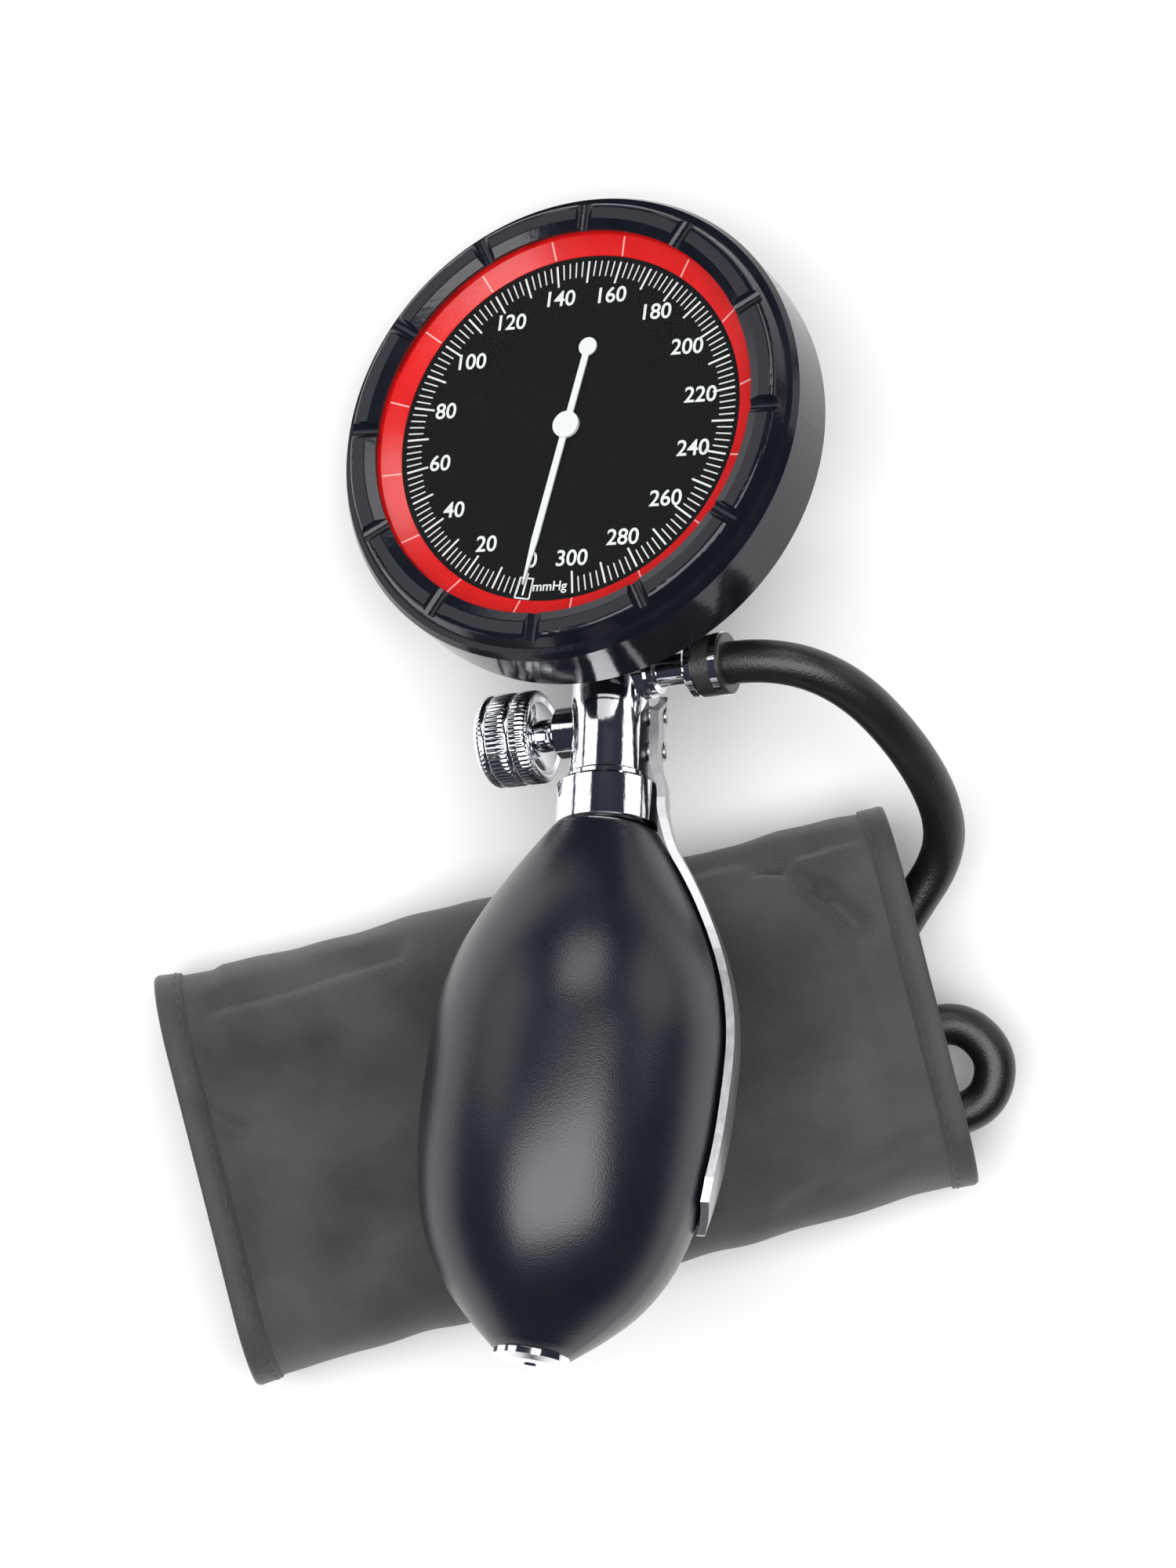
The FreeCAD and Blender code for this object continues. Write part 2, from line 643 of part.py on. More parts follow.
def make_valve_body():
    """Chrome neck: spigot into the case, air bore, valve and barb ports, nipple for the bulb."""
    body = new_body("valve_body", INSTRUMENT)
    turn(body, [
        ("#bore_radius", "-#neck_top + 8"),
        ("#spigot_radius", "-#neck_top + 8"),
        ("#spigot_radius", "-#neck_top"),
        ("#neck_radius - 0.4", "-#neck_top"),
        ("#neck_radius - 0.4", "-#neck_end + 1.6"),
        ("#neck_radius", "-#neck_end + 1.2"),
        ("#neck_radius", "-#neck_end"),
        ("#nipple_radius", "-#neck_end"),
        ("#nipple_radius", "-#collar_end - 4.2"),
        ("2.6", "-#collar_end - 4.2"),
        ("2.6", "-#collar_end - 1"),
        ("#bore_radius", "-#collar_end - 1"),
    ])
    add_disc(body, "YZ_Plane", -size("neck_radius") - 0.45, "-#valve_axis", "0", "4.9", "3.4")
    add_disc(body, "YZ_Plane", 5.0, "-#barb_axis", "0", "4.9", "#neck_radius + 0.45 - 5")
    outside = -size("neck_radius") - 1
    cut_hole(body, "YZ_Plane", outside, "-#valve_axis", "0", "4.4", "#neck_radius + 1 - 3.2")
    cut_hole(body, "YZ_Plane", -3.5, "-#valve_axis", "0", "1.2", "3.5")
    cut_hole(body, "YZ_Plane", 0.0, "-#barb_axis", "0", "1.8", "5")
    cut_hole(body, "YZ_Plane", 4.0, "-#barb_axis", "0", "#barb_radius + 0.05", "6")
    for place in ("-#neck_end + 14", "-#neck_end + 7"):
        cut_hole(body, "YZ_Plane", 6.8, place, "0", "2.05", "4", size("spoon_angle"))
        cut_hole(body, "YZ_Plane", 4.5, place, "0", "1.2", "3", size("spoon_angle"))

    collar = new_body("bulb_collar", INSTRUMENT)
    turn(collar, [
        ("#nipple_radius + 0.05", "-#neck_end - 0.05"),
        ("#collar_radius - 0.5", "-#neck_end - 0.05"),
        ("#collar_radius", "-#neck_end - 0.6"),
        ("#collar_radius", "-#collar_end + 0.6"),
        ("#collar_radius - 0.6", "-#collar_end"),
        ("#nipple_radius + 2.6", "-#collar_end"),
        ("#nipple_radius + 2.6", "-#neck_end - 1.3"),
        ("#nipple_radius + 0.05", "-#neck_end - 1.3"),
    ])


def make_release_valve():
    """Gland nut, O-ring, spindle with its rubber seal, and the knurled knob, closed at rest."""
    place = INSTRUMENT * at(0, -size("valve_axis"))
    gland = new_body("gland_nut", place)
    turn(gland, [
        ("-6.1", "#stem_radius + 0.05"),
        ("-6.1", "4.35"),
        ("-#neck_radius - 0.5", "4.35"),
        ("-#neck_radius - 0.5", "4.9"),
        ("-#neck_radius - 2.1", "4.9"),
        ("-#neck_radius - 2.6", "4.4"),
        ("-#neck_radius - 2.6", "#stem_radius + 0.05"),
    ], "XY_Plane", "H_Axis")

    ring = doc.addObject("Part::Torus", "gland_torus")
    ring.Label = "gland_o_ring"
    ring.setExpression("Radius1", cell("#stem_radius + 0.65"))
    ring.Radius2 = 0.62
    ring.Placement = place * Placement(Vector(-5.45, 0, 0), Rotation(Vector(0, 1, 0), 90))
    PARTS.append(ring)

    spindle = new_body("release_spindle", place)
    turn(spindle, [
        ("-4.4", "0"),
        ("-4.4", "2.0"),
        ("-4.75", "#stem_radius"),
        ("-#knob_outer + 2.5", "#stem_radius"),
        ("-#knob_outer + 2.5", "0"),
    ], "XY_Plane", "H_Axis")

    seal = cylinder("seal_disc", "2.5", "1.15")
    seal.Label = "release_seal"
    seal.Placement = place * Placement(Vector(-4.38, 0, 0), Rotation(Vector(0, 1, 0), 90))
    PARTS.append(seal)

    knob = new_body("release_knob", place)
    turn(knob, [
        ("-#knob_inner", "#stem_radius + 0.02"),
        ("-#knob_inner", "#knob_radius - 2.4"),
        ("-#knob_inner - 0.5", "#knob_radius - 2.0"),
        ("-#knob_inner", "#knob_radius - 1.2"),
        ("-#knob_inner - 0.9", "#knob_radius"),
        ("-#knob_inner - 3.6", "#knob_radius"),
        ("-#knob_inner - 3.9", "#knob_radius - 0.6"),
        ("-#knob_inner - 4.7", "#knob_radius - 0.6"),
        ("-#knob_inner - 5.0", "#knob_radius"),
        ("-#knob_outer + 3.6", "#knob_radius"),
        ("-#knob_outer + 3.3", "#knob_radius - 0.6"),
        ("-#knob_outer + 2.6", "#knob_radius - 0.6"),
        ("-#knob_outer + 2.3", "#knob_radius - 0.1"),
        ("-#knob_outer + 0.5", "#knob_radius - 1.6"),
        ("-#knob_outer", "#knob_radius - 3.4"),
        ("-#knob_outer", "0"),
        ("-#knob_outer + 2.48", "0"),
        ("-#knob_outer + 2.48", "#stem_radius + 0.02"),
    ], "XY_Plane", "H_Axis")


def make_hose_fitting():
    """Barb that screws into the neck, with the dark ferrule and bright band over the hose's end."""
    place = INSTRUMENT * at(0, -size("barb_axis"))
    barb = new_body("hose_barb", place)
    turn(barb, [
        ("5.2", "1.5"),
        ("5.2", "#barb_radius"),
        ("#neck_radius + 0.5", "#barb_radius"),
        ("#neck_radius + 0.5", "4.2"),
        ("#neck_radius + 1.9", "4.2"),
        ("#neck_radius + 2.3", "#barb_radius"),
        ("#flange_start - 1.2", "#barb_radius"),
        ("#flange_start - 0.6", "#barb_radius + 0.8"),
        ("#flange_start", "#flange_radius - 0.5"),
        ("#flange_start + 0.5", "#flange_radius"),
        ("#ferrule_start - 0.3", "#flange_radius"),
        ("#ferrule_start", "#flange_radius - 0.5"),
        ("#ferrule_start", "2.2"),
        ("#ferrule_end - 0.4", "2.2"),
        ("#ferrule_end - 0.4", "1.5"),
    ], "XY_Plane", "H_Axis")
    ferrule = new_body("hose_ferrule", place)
    turn(ferrule, [
        ("#ferrule_start + 0.05", "2.25"),
        ("#ferrule_start + 0.05", "#flange_radius"),
        ("#ferrule_end - 2.2", "#flange_radius"),
        ("#ferrule_end - 2.2", "#flange_radius - 0.6"),
        ("#ferrule_end - 0.7", "#flange_radius - 0.6"),
        ("#ferrule_end - 0.7", "#flange_radius"),
        ("#ferrule_end - 0.2", "#flange_radius"),
        ("#ferrule_end", "#flange_radius - 0.3"),
        ("#ferrule_end", "1.0"),
        ("#ferrule_end - 0.35", "1.0"),
        ("#ferrule_end - 0.35", "2.25"),
    ], "XY_Plane", "H_Axis")
    band = new_body("ferrule_band", place)
    turn(band, [
        ("#ferrule_end - 2.15", "#flange_radius - 0.58"),
        ("#ferrule_end - 2.15", "#flange_radius + 0.2"),
        ("#ferrule_end - 0.75", "#flange_radius + 0.2"),
        ("#ferrule_end - 0.75", "#flange_radius - 0.58"),
    ], "XY_Plane", "H_Axis")


def make_outlet_valve():
    """Seat ring and loose rubber disc in the nipple, which let air out of the bulb only."""
    ring = new_body("outlet_seat", INSTRUMENT)
    turn(ring, [
        ("1.0", "-#collar_end - 4.2"),
        ("2.58", "-#collar_end - 4.2"),
        ("2.58", "-#collar_end - 2.8"),
        ("1.0", "-#collar_end - 2.8"),
    ])
    disc = cylinder("outlet_rod", "2.3", "0.85")
    disc.Label = "outlet_disc"
    disc.Placement = INSTRUMENT * Placement(
        Vector(0, -size("collar_end") - 2.78, 0), Rotation(Vector(1, 0, 0), -90))
    PARTS.append(disc)


# ---------------------------------------------------------------- bulb and finger strip


def bulb_frame(station):
    """Frame on the bulb's gently bent axis; local -Y runs on towards the bulb's far end."""
    start = math.radians(size("bend_start"))
    if station <= 0:
        return at(0, -size("collar_end") - station)
    rate = math.radians(size("bend_end") - size("bend_start")) / size("bulb_length")
    heading = start + rate * station
    place = Vector(
        -(math.cos(start) - math.cos(heading)) / rate,
        -size("collar_end") - (math.sin(heading) - math.sin(start)) / rate,
        0,
    )
    return Placement(place, Rotation(Vector(0, 0, 1), -math.degrees(heading)))


def bulb_profile():
    """Curve of the bulb's outside: station along X, radius along Y."""
    shares = [
        (0.006, 0.37), (0.05, 0.475), (0.11, 0.61), (0.19, 0.77), (0.28, 0.905), (0.38, 0.985),
        (0.48, 1.0), (0.60, 0.99), (0.71, 0.94), (0.81, 0.84), (0.89, 0.68), (0.95, 0.48), (1.0, 0.27),
    ]
    curve = Part.BSplineCurve()
    curve.interpolate([Vector(f * size("bulb_length"), r * size("bulb_radius"), 0) for f, r in shares])
    return curve


def profile_samples(curve, count, offset=0.0):
    """Stations and radii along a profile curve, shifted square to it by an offset."""
    first, last = curve.FirstParameter, curve.LastParameter
    samples = []
    for n in range(count + 1):
        parameter = first + (last - first) * n / count
        point = curve.value(parameter)
        slope = curve.tangent(parameter)[0]
        samples.append((point.x - offset * slope.y, point.y + offset * slope.x))
    return samples


def round_loft(samples):
    """Solid through circles on the bulb's axis."""
    rings = []
    for station, radius in samples:
        ring = Part.Wire(Part.Circle(Vector(), Vector(0, 1, 0), radius).toShape())
        ring.Placement = bulb_frame(station)
        rings.append(ring)
    return Part.makeLoft(rings, True, False)


def make_bulb():
    """Hollow rubber bulb with its neck inside the collar and a hole for the end valve."""
    profile = bulb_profile()
    outer = round_loft(profile_samples(profile, 18))
    wall = size("bulb_wall")
    inside = [
        (station, radius)
        for station, radius in profile_samples(profile, 18, -wall)
        if wall + 1 < station < size("bulb_length") - wall and radius > 5.2
    ]
    neck = Part.makeCylinder(6.5, 8.4, Vector(0, -size("collar_end") + 7.5, 0), Vector(0, -1, 0))
    bore = Part.makeCylinder(4.05, 18, Vector(0, -size("collar_end") + 8, 0), Vector(0, -1, 0))
    hole = Part.makeCylinder(4.95, 14, Vector(0, -1, 0), Vector(0, 1, 0))
    hole.Placement = bulb_frame(size("bulb_length"))
    bulb = outer.fuse(neck).cut([round_loft(inside), bore, hole]).removeSplitter()
    free_shape("bulb", bulb, INSTRUMENT)


def make_spoon():
    """Chrome finger strip: starts on the neck, clears the collar and hugs the bulb's side."""
    thick = size("spoon_thick")
    gap = 0.6
    end = -size("collar_end")
    curve = Part.BSplineCurve()
    hugging = [s for s in profile_samples(bulb_profile(), 18, gap) if 8 < s[0] < 0.92 * size("bulb_length")]
    neck_run = [
        (end + 44.5, size("neck_radius") + 0.95),
        (end + 50, size("neck_radius") + 0.95),
        (end + 55.5, size("neck_radius") + 0.95),
        (end + 60, size("neck_radius") + 1.05),
        (end + 64.5, size("collar_radius") + 0.6),
        (end + 68.5, size("collar_radius") + 0.8),
        (0.0, size("collar_radius") + 1.6),
    ]
    curve.interpolate([Vector(s, r, 0) for s, r in neck_run + hugging])
    shell = round_loft(profile_samples(curve, 30, thick)).cut(round_loft(profile_samples(curve, 30)))
    lean = math.radians(size("spoon_angle"))
    length = 0.77 * size("bulb_length")
    edge_up = []
    edge_down = []
    for n in range(25):
        station = end + 45 + (length - end - 45) * n / 24
        middle = bulb_frame(station).Base
        shift = -middle.x * math.sin(lean)
        growth = min(1.0, max(0.0, (station + 8) / 40))
        half = 4.6 + 4.4 * growth * growth * (3 - 2 * growth)
        tip = max(0.0, 1 - (length - station) / 9)
        base = max(0.0, 1 - (station - end - 45) / 4.6)
        half = half * math.sqrt(max(0.003, 1 - tip * tip)) * math.sqrt(max(0.003, 1 - base * base))
        edge_up.append(Vector(0, middle.y, -shift + half))
        edge_down.append(Vector(0, middle.y, -shift - half))
    outline = Part.makePolygon(edge_up + edge_down[::-1] + edge_up[:1])
    blade = Part.Face(outline).extrude(Vector(60, 0, 0))
    blade.Placement = Placement(Vector(), Rotation(Vector(0, 1, 0), size("spoon_angle")))
    strip = shell.common(blade)
    for place in (14, 7):
        hole = Part.makeCylinder(1.25, 20, Vector(0, 0, 0), Vector(1, 0, 0))
        hole.Placement = rivet_frame(place)
        strip = strip.cut(hole)
    free_shape("finger_strip", strip.removeSplitter(), INSTRUMENT)


def rivet_frame(above_end):
    """Frame of one rivet on the neck, local X pointing outwards through the finger strip."""
    turned = Rotation(Vector(0, 1, 0), size("spoon_angle"))
    return Placement(Vector(0, -size("neck_end") + above_end, 0), turned)


def make_rivets():
    """Shouldered rivets that hold the finger strip a little off the neck."""
    seat = size("neck_radius") + 0.72
    for n, place in enumerate((14, 7), 1):
        rivet = new_body(f"strip_rivet_{n}", INSTRUMENT * rivet_frame(place))
        turn(rivet, [
            ("4.6", "0"),
            ("4.6", "1.15"),
            ("6.85", "1.15"),
            ("6.85", "1.8"),
            (f"{seat}", "1.8"),
            (f"{seat}", "1.2"),
            (f"{seat} + #spoon_thick + 0.4", "1.2"),
            (f"{seat} + #spoon_thick + 0.4", "1.8"),
            (f"{seat} + #spoon_thick + 0.75", "1.3"),
            (f"{seat} + #spoon_thick + 0.75", "0"),
        ], "XY_Plane", "H_Axis")


def make_end_valve():
    """Intake valve in the bulb's far end: chrome body, loose ball and its keeper."""
    place = INSTRUMENT * bulb_frame(size("bulb_length"))
    body = new_body("end_valve_body", place)
    turn(body, [
        ("1.0", "-1.2"),
        ("1.8", "-2.0"),
        ("5.6", "-2.0"),
        ("6.9", "-1.2"),
        ("6.9", "-0.05"),
        ("4.9", "-0.05"),
        ("4.9", "9"),
        ("4.5", "10"),
        ("2.3", "10"),
        ("2.3", "1"),
        ("1.0", "1"),
    ])
    ball = doc.addObject("Part::Sphere", "ball")
    ball.Label = "intake_ball"
    ball.Radius = 2.0
    ball.Placement = place * at(0, 2.76)
    PARTS.append(ball)
    keeper = new_body("ball_keeper", place)
    turn(keeper, [
        ("0.9", "6.2"),
        ("2.28", "6.2"),
        ("2.28", "8.6"),
        ("0.9", "8.6"),
    ])


# ---------------------------------------------------------------- cuff


def stadium(across, inset):
    """Flattened round outline of the roll at one end, inset from its outside."""
    share = across / size("cuff_length") + 0.5
    width = size("cuff_left") + (size("cuff_right") - size("cuff_left")) * share
    half = size("cuff_height") / 2 - inset
    flat = width / 2 - size("cuff_height") / 2
    middle = size("cuff_height") / 2
    corners = [Vector(across, flat, middle + half), Vector(across, -flat, middle + half),
               Vector(across, -flat, middle - half), Vector(across, flat, middle - half)]
    return Part.Wire([
        Part.LineSegment(corners[0], corners[1]).toShape(),
        Part.Arc(corners[1], Vector(across, -flat - half, middle), corners[2]).toShape(),
        Part.LineSegment(corners[2], corners[3]).toShape(),
        Part.Arc(corners[3], Vector(across, flat + half, middle), corners[0]).toShape(),
    ])


def roll_layer(label, start, stop, outside, inside):
    """One flattened turn of the roll between two insets, pressed to true flats above and below."""
    press = 0.02
    outer = Part.makeLoft([stadium(start, outside - press), stadium(stop, outside - press)], True, True)
    width = size("cuff_left") + size("cuff_right")
    between = Part.makeBox(stop - start, width, size("cuff_height") - 2 * outside)
    between.translate(Vector(start, -width / 2, outside))
    inner = Part.makeLoft([stadium(start - 1, inside), stadium(stop + 1, inside)], True, True)
    free_shape(label, outer.common(between).cut(inner), CUFF)


def make_cuff():
    """Rolled cuff as nested turns with a bound edge at both ends and an open core."""
    half = size("cuff_length") / 2
    cover = size("cover_thick")
    gap = size("layer_gap")
    patch = 1.0
    bladder_out = cover + patch + 2 * gap
    bladder_in = bladder_out + size("bladder_thick")
    core = bladder_in + gap + cover - 0.5
    binding = 2.0
    roll_layer("cuff_outer_turn", -half + binding, half - binding, 0, cover)
    roll_layer("cuff_inner_turn", -half + binding, half - binding, bladder_in + gap, core)
    roll_layer("bladder", -half + 10, half - 10, bladder_out, bladder_in)
    roll_layer("edge_binding_left", -half, -half + binding, 0, core)
    roll_layer("edge_binding_right", half - binding, half, 0, core)
    hook = doc.addObject("Part::Box", "hook_box")
    hook.Label = "hook_patch"
    hook.setExpression("Length", cell("#cuff_length - 30"))
    hook.Width = 44
    hook.Height = patch
    hook.Placement = CUFF * at(-half + 15, -22, size("cuff_height") - cover - gap - patch)
    PARTS.append(hook)
    port = new_body("bladder_port", CUFF * at(size("port_place"), -22, size("cuff_height") / 2))
    turn(port, [
        ("0", "0"),
        ("0", "#hose_radius + 0.6"),
        ("-3", "#hose_radius + 0.6"),
        ("-5", "#hose_radius - 1"),
        ("-14", "#hose_radius - 1"),
        ("-14", f"{size('cuff_height') / 2 - core - 0.05}"),
        ("-16", f"{size('cuff_height') / 2 - core - 0.05}"),
        ("-16", "0"),
    ], "XY_Plane", "H_Axis")


# ---------------------------------------------------------------- hose


def hose_route():
    """Corner points of the hose from the ferrule to the port inside the roll, in the cuff's frame."""
    instrument_to_cuff = CUFF.inverse() * INSTRUMENT
    exit_point = Vector(size("ferrule_end"), -size("barb_axis"), 0)
    start = instrument_to_cuff.multVec(exit_point)
    ahead = instrument_to_cuff.multVec(exit_point + Vector(9, 0, 0))
    middle = size("cuff_height") / 2
    end = Vector(size("port_place"), -22, middle)
    return [
        start,
        ahead,
        Vector(69.0, 61.5, 48.5),
        Vector(77.5, 48.0, 38.5),
        Vector(82.0, 34.5, 27.0),
        Vector(80.5, 25.0, 18.5),
        Vector(71.5, 16.5, middle),
        Vector(61.2, 6.4, middle),
        Vector(61.3, -1.4, middle),
        Vector(66.4, -6.2, middle),
        Vector(76.3, -6.2, middle),
        Vector(81.5, -15.1, middle),
        Vector(76.3, -24.0, middle),
        Vector(63.0, -23.2, middle),
        Vector(45.0, -21.4, middle),
        Vector(26.0, -20.4, middle),
        Vector(8.0, -22.0, middle),
        end,
    ]


def rounded_path(points):
    """Straight runs joined by tangent arcs, each as large as its two runs allow."""
    edges = []
    radii = []
    here = points[0]
    for before, corner, after in zip(points, points[1:], points[2:]):
        toward = (corner - before).normalize()
        away = (after - corner).normalize()
        half = toward.getAngle(away) / 2
        setback = 0.45 * min((corner - before).Length, (after - corner).Length)
        radius = setback / math.tan(half)
        radii.append(radius)
        entry = corner - toward * setback
        leave = corner + away * setback
        inward = (away - toward).normalize()
        top = corner + inward * (radius / math.cos(half) - radius)
        edges.append(Part.LineSegment(here, entry).toShape())
        edges.append(Part.Arc(entry, top, leave).toShape())
        here = leave
    edges.append(Part.LineSegment(here, points[-1]).toShape())
    return Part.Wire(edges), radii


def make_hose():
    """Rubber hose as one plain round solid along its route."""
    points = hose_route()
    path, radii = rounded_path(points)
    section = Part.Wire(Part.Circle(points[0], points[1] - points[0], size("hose_radius")).toShape())
    tube = path.makePipeShell([section], True, False)
    expected = math.pi * size("hose_radius") ** 2 * path.Length
    print("hose length", round(path.Length, 1), "radii", [round(r, 1) for r in radii])
    print("hose volume against section times length", round(tube.Volume / expected, 4))
    free_shape("hose", tube, CUFF)


# ---------------------------------------------------------------- build, test and write

make_rear_case()
make_bezel()
make_front()
make_plates()
make_supports()
make_gears()
make_pointer()
make_hairspring()
make_rocker()
make_capsule()
make_pressure_pipe()
make_valve_body()
make_release_valve()
make_hose_fitting()
make_outlet_valve()
make_bulb()
make_spoon()
make_rivets()
make_end_valve()
make_cuff()
make_hose()
doc.recompute()

for item in doc.Objects:
    if "Invalid" in item.State or "Error" in item.State:
        raise RuntimeError(f"{item.Label} did not build: {item.State}")
for part in PARTS:
    if part.Shape.isNull() or not part.Shape.isValid() or not part.Shape.Solids:
        raise RuntimeError(f"{part.Label} has no valid solid")
    if len(part.Shape.Solids) != 1:
        raise RuntimeError(f"{part.Label} is {len(part.Shape.Solids)} solids")

os.makedirs("parts", exist_ok=True)
for part in PARTS:
    part.Shape.exportStep(f"parts/{part.Label}.step")
print(len(PARTS), "parts written")
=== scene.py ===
import math

import bmesh
import bpy
from mathutils import Matrix, Vector, geometry, noise


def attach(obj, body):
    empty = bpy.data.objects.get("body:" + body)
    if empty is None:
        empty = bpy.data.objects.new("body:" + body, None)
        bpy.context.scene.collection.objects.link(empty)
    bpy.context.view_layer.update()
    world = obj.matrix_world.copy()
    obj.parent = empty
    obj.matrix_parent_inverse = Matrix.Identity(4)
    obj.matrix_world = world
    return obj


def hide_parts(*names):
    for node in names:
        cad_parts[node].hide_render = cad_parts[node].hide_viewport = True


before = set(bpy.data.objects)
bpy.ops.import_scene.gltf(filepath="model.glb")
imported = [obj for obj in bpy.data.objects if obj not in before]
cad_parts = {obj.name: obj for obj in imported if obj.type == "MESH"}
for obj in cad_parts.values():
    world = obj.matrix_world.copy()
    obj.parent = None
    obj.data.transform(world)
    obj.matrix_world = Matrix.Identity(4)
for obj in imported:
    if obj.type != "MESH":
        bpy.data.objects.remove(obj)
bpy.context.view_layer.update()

# ---------------------------------------------------------------- camera
# Straight above the table, with the gauge at the top of the view and the
# rolled cuff across the bottom.

camera = bpy.data.objects.new("camera", bpy.data.cameras.new("camera"))
camera.location = (0.0038, 0.0579, 0.9)
camera.data.lens = 106.1
camera.data.sensor_width = 36.0
bpy.context.scene.collection.objects.link(camera)
bpy.context.scene.camera = camera

# ---------------------------------------------------------------- hose
# Extruded black rubber tube, 8 mm outside. It leaves the ferrule on the handle,
# dips to the table side, and its slack is tucked into the rolled cuff.

HOSE_RADIUS = 0.004
ROLL_MIDDLE = 0.0155
CUFF = Matrix.Rotation(math.radians(14.3), 4, "Z")
hose_route = [
    (0.04892, 0.07038, 0.04630), (0.05708, 0.06929, 0.04995), (0.0690, 0.0615, 0.0485),
    (0.0775, 0.0480, 0.0385), (0.0820, 0.0345, 0.0270), (0.0805, 0.0250, 0.0185),
    (0.0715, 0.0165, ROLL_MIDDLE), (0.0612, 0.0064, ROLL_MIDDLE), (0.0613, -0.0014, ROLL_MIDDLE),
    (0.0664, -0.0062, ROLL_MIDDLE), (0.0763, -0.0062, ROLL_MIDDLE), (0.0815, -0.0151, ROLL_MIDDLE),
    (0.0763, -0.0240, ROLL_MIDDLE), (0.0630, -0.0232, ROLL_MIDDLE), (0.0450, -0.0214, ROLL_MIDDLE),
    (0.0260, -0.0204, ROLL_MIDDLE), (0.0080, -0.0220, ROLL_MIDDLE), (-0.0060, -0.0220, ROLL_MIDDLE),
]


class Wire:
    """A value inside a finish, worked on with ordinary sums."""

    def __init__(self, tree, socket):
        self.tree, self.socket = tree, socket

    def sum(self, operation, *terms):
        made = self.tree.nodes.new("ShaderNodeMath")
        made.operation = operation
        for place, term in zip(made.inputs, terms):
            if isinstance(term, Wire):
                self.tree.links.new(term.socket, place)
            else:
                place.default_value = term
        return Wire(self.tree, made.outputs[0])

    def of(self, operation):
        return self.sum(operation, self)

    def __add__(self, other):
        return self.sum("ADD", self, other)

    def __mul__(self, other):
        return self.sum("MULTIPLY", self, other)

    def __sub__(self, other):
        return self.sum("SUBTRACT", self, other)

    def __rsub__(self, other):
        return self.sum("SUBTRACT", other, self)

    def __gt__(self, other):
        return self.sum("GREATER_THAN", self, other)

    __radd__, __rmul__ = __add__, __mul__


class Finish:
    """One material, built node by node and closed with surface()."""

    def __init__(self, name):
        self.material = bpy.data.materials.new(name)
        self.material.use_nodes = True
        self.tree = self.material.node_tree
        self.tree.nodes.clear()

    def node(self, kind, sockets=(), output=0, **settings):
        made = self.tree.nodes.new("ShaderNode" + kind)
        for name, value in settings.items():
            setattr(made, name, value)
        for name, value in dict(sockets).items():
            if isinstance(value, Wire):
                self.tree.links.new(value.socket, made.inputs[name])
            else:
                made.inputs[name].default_value = value
        return Wire(self.tree, made.outputs[output])

    def place(self):
        return self.node("TexCoord", output=3)

    def grain(self, scale, detail=2.0, stretch=(1, 1, 1), turn=(0, 0, 0)):
        """Cloudy value from 0 to 1; scale is in clouds per metre."""
        place = self.place()
        if stretch != (1, 1, 1) or turn != (0, 0, 0):
            place = self.node("Mapping", {"Vector": place, "Scale": stretch, "Rotation": turn})
        return self.node("TexNoise", {"Vector": place, "Scale": scale, "Detail": detail})

    def between(self, share, one, other):
        """Colour that goes from one to the other."""
        return self.node("Mix", {0: share, 6: (*one, 1), 7: (*other, 1)}, 2, data_type="RGBA")

    def bumps(self, height, distance, strength=1.0):
        return self.node("Bump", {"Height": height, "Distance": distance, "Strength": strength})

    def surface(self, **sockets):
        named = {name.replace("_", " "): value for name, value in sockets.items()}
        named = {name: (*value, 1) if name.endswith("Color") and isinstance(value, tuple) else value
                 for name, value in named.items()}
        shader = self.node("BsdfPrincipled", named)
        self.node_out(shader)
        return self.material

    def node_out(self, shader):
        out = self.tree.nodes.new("ShaderNodeOutputMaterial")
        self.tree.links.new(shader.socket, out.inputs["Surface"])


def add_piece(piece, finish, body="instrument", nodes=()):
    """Puts a finished piece in the scene, on its body, in place of its CAD nodes."""
    if piece.name not in bpy.context.scene.collection.objects:
        bpy.context.scene.collection.objects.link(piece)
    piece.data.materials.append(finish)
    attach(piece, body)
    if nodes:
        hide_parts(*nodes)
    return piece


hose_line = bpy.data.curves.new("hose_tube", "CURVE")
hose_line.dimensions = "3D"
hose_line.resolution_u = 14
hose_line.bevel_depth = HOSE_RADIUS
hose_line.bevel_resolution = 8
hose_line.use_fill_caps = True
hose_spline = hose_line.splines.new("NURBS")
hose_spline.points.add(len(hose_route) - 1)
for knot, point in zip(hose_spline.points, hose_route):
    knot.co = (*(CUFF @ Vector(point)), 1)
hose_spline.order_u = 3
hose_spline.use_endpoint_u = True

hose_finish = Finish("hose_rubber")
hose_bloom = hose_finish.grain(90, 3)
hose_pits = hose_finish.grain(2600, 2)
add_piece(bpy.data.objects.new("hose_tube", hose_line), hose_finish.surface(
    Base_Color=hose_finish.between(hose_bloom, (0.0035, 0.0035, 0.004), (0.010, 0.0095, 0.009)),
    Roughness=0.26 + 0.14 * hose_bloom + 0.05 * hose_pits,
    Specular_IOR_Level=0.5,
    Normal=hose_finish.bumps(hose_pits, 0.00008),
), nodes=["hose"])

# ---------------------------------------------------------------- gauge case and front ring
# Aluminium cup and screwed front ring in deep gloss black enamel, slightly blue,
# with the faint ripple of a sprayed coat and a few rubbed marks.

INSTRUMENT = (
    Matrix.Translation((0.0099, 0.1168, 0.02275))
    @ Matrix.Rotation(math.radians(-2.3), 4, "Z")
    @ Matrix.Rotation(math.radians(-19.5), 4, "X")
    @ Matrix.Rotation(math.radians(-25.5), 4, "Y")
)
GAUGE = INSTRUMENT @ Matrix.Rotation(math.radians(-5), 4, "Z")


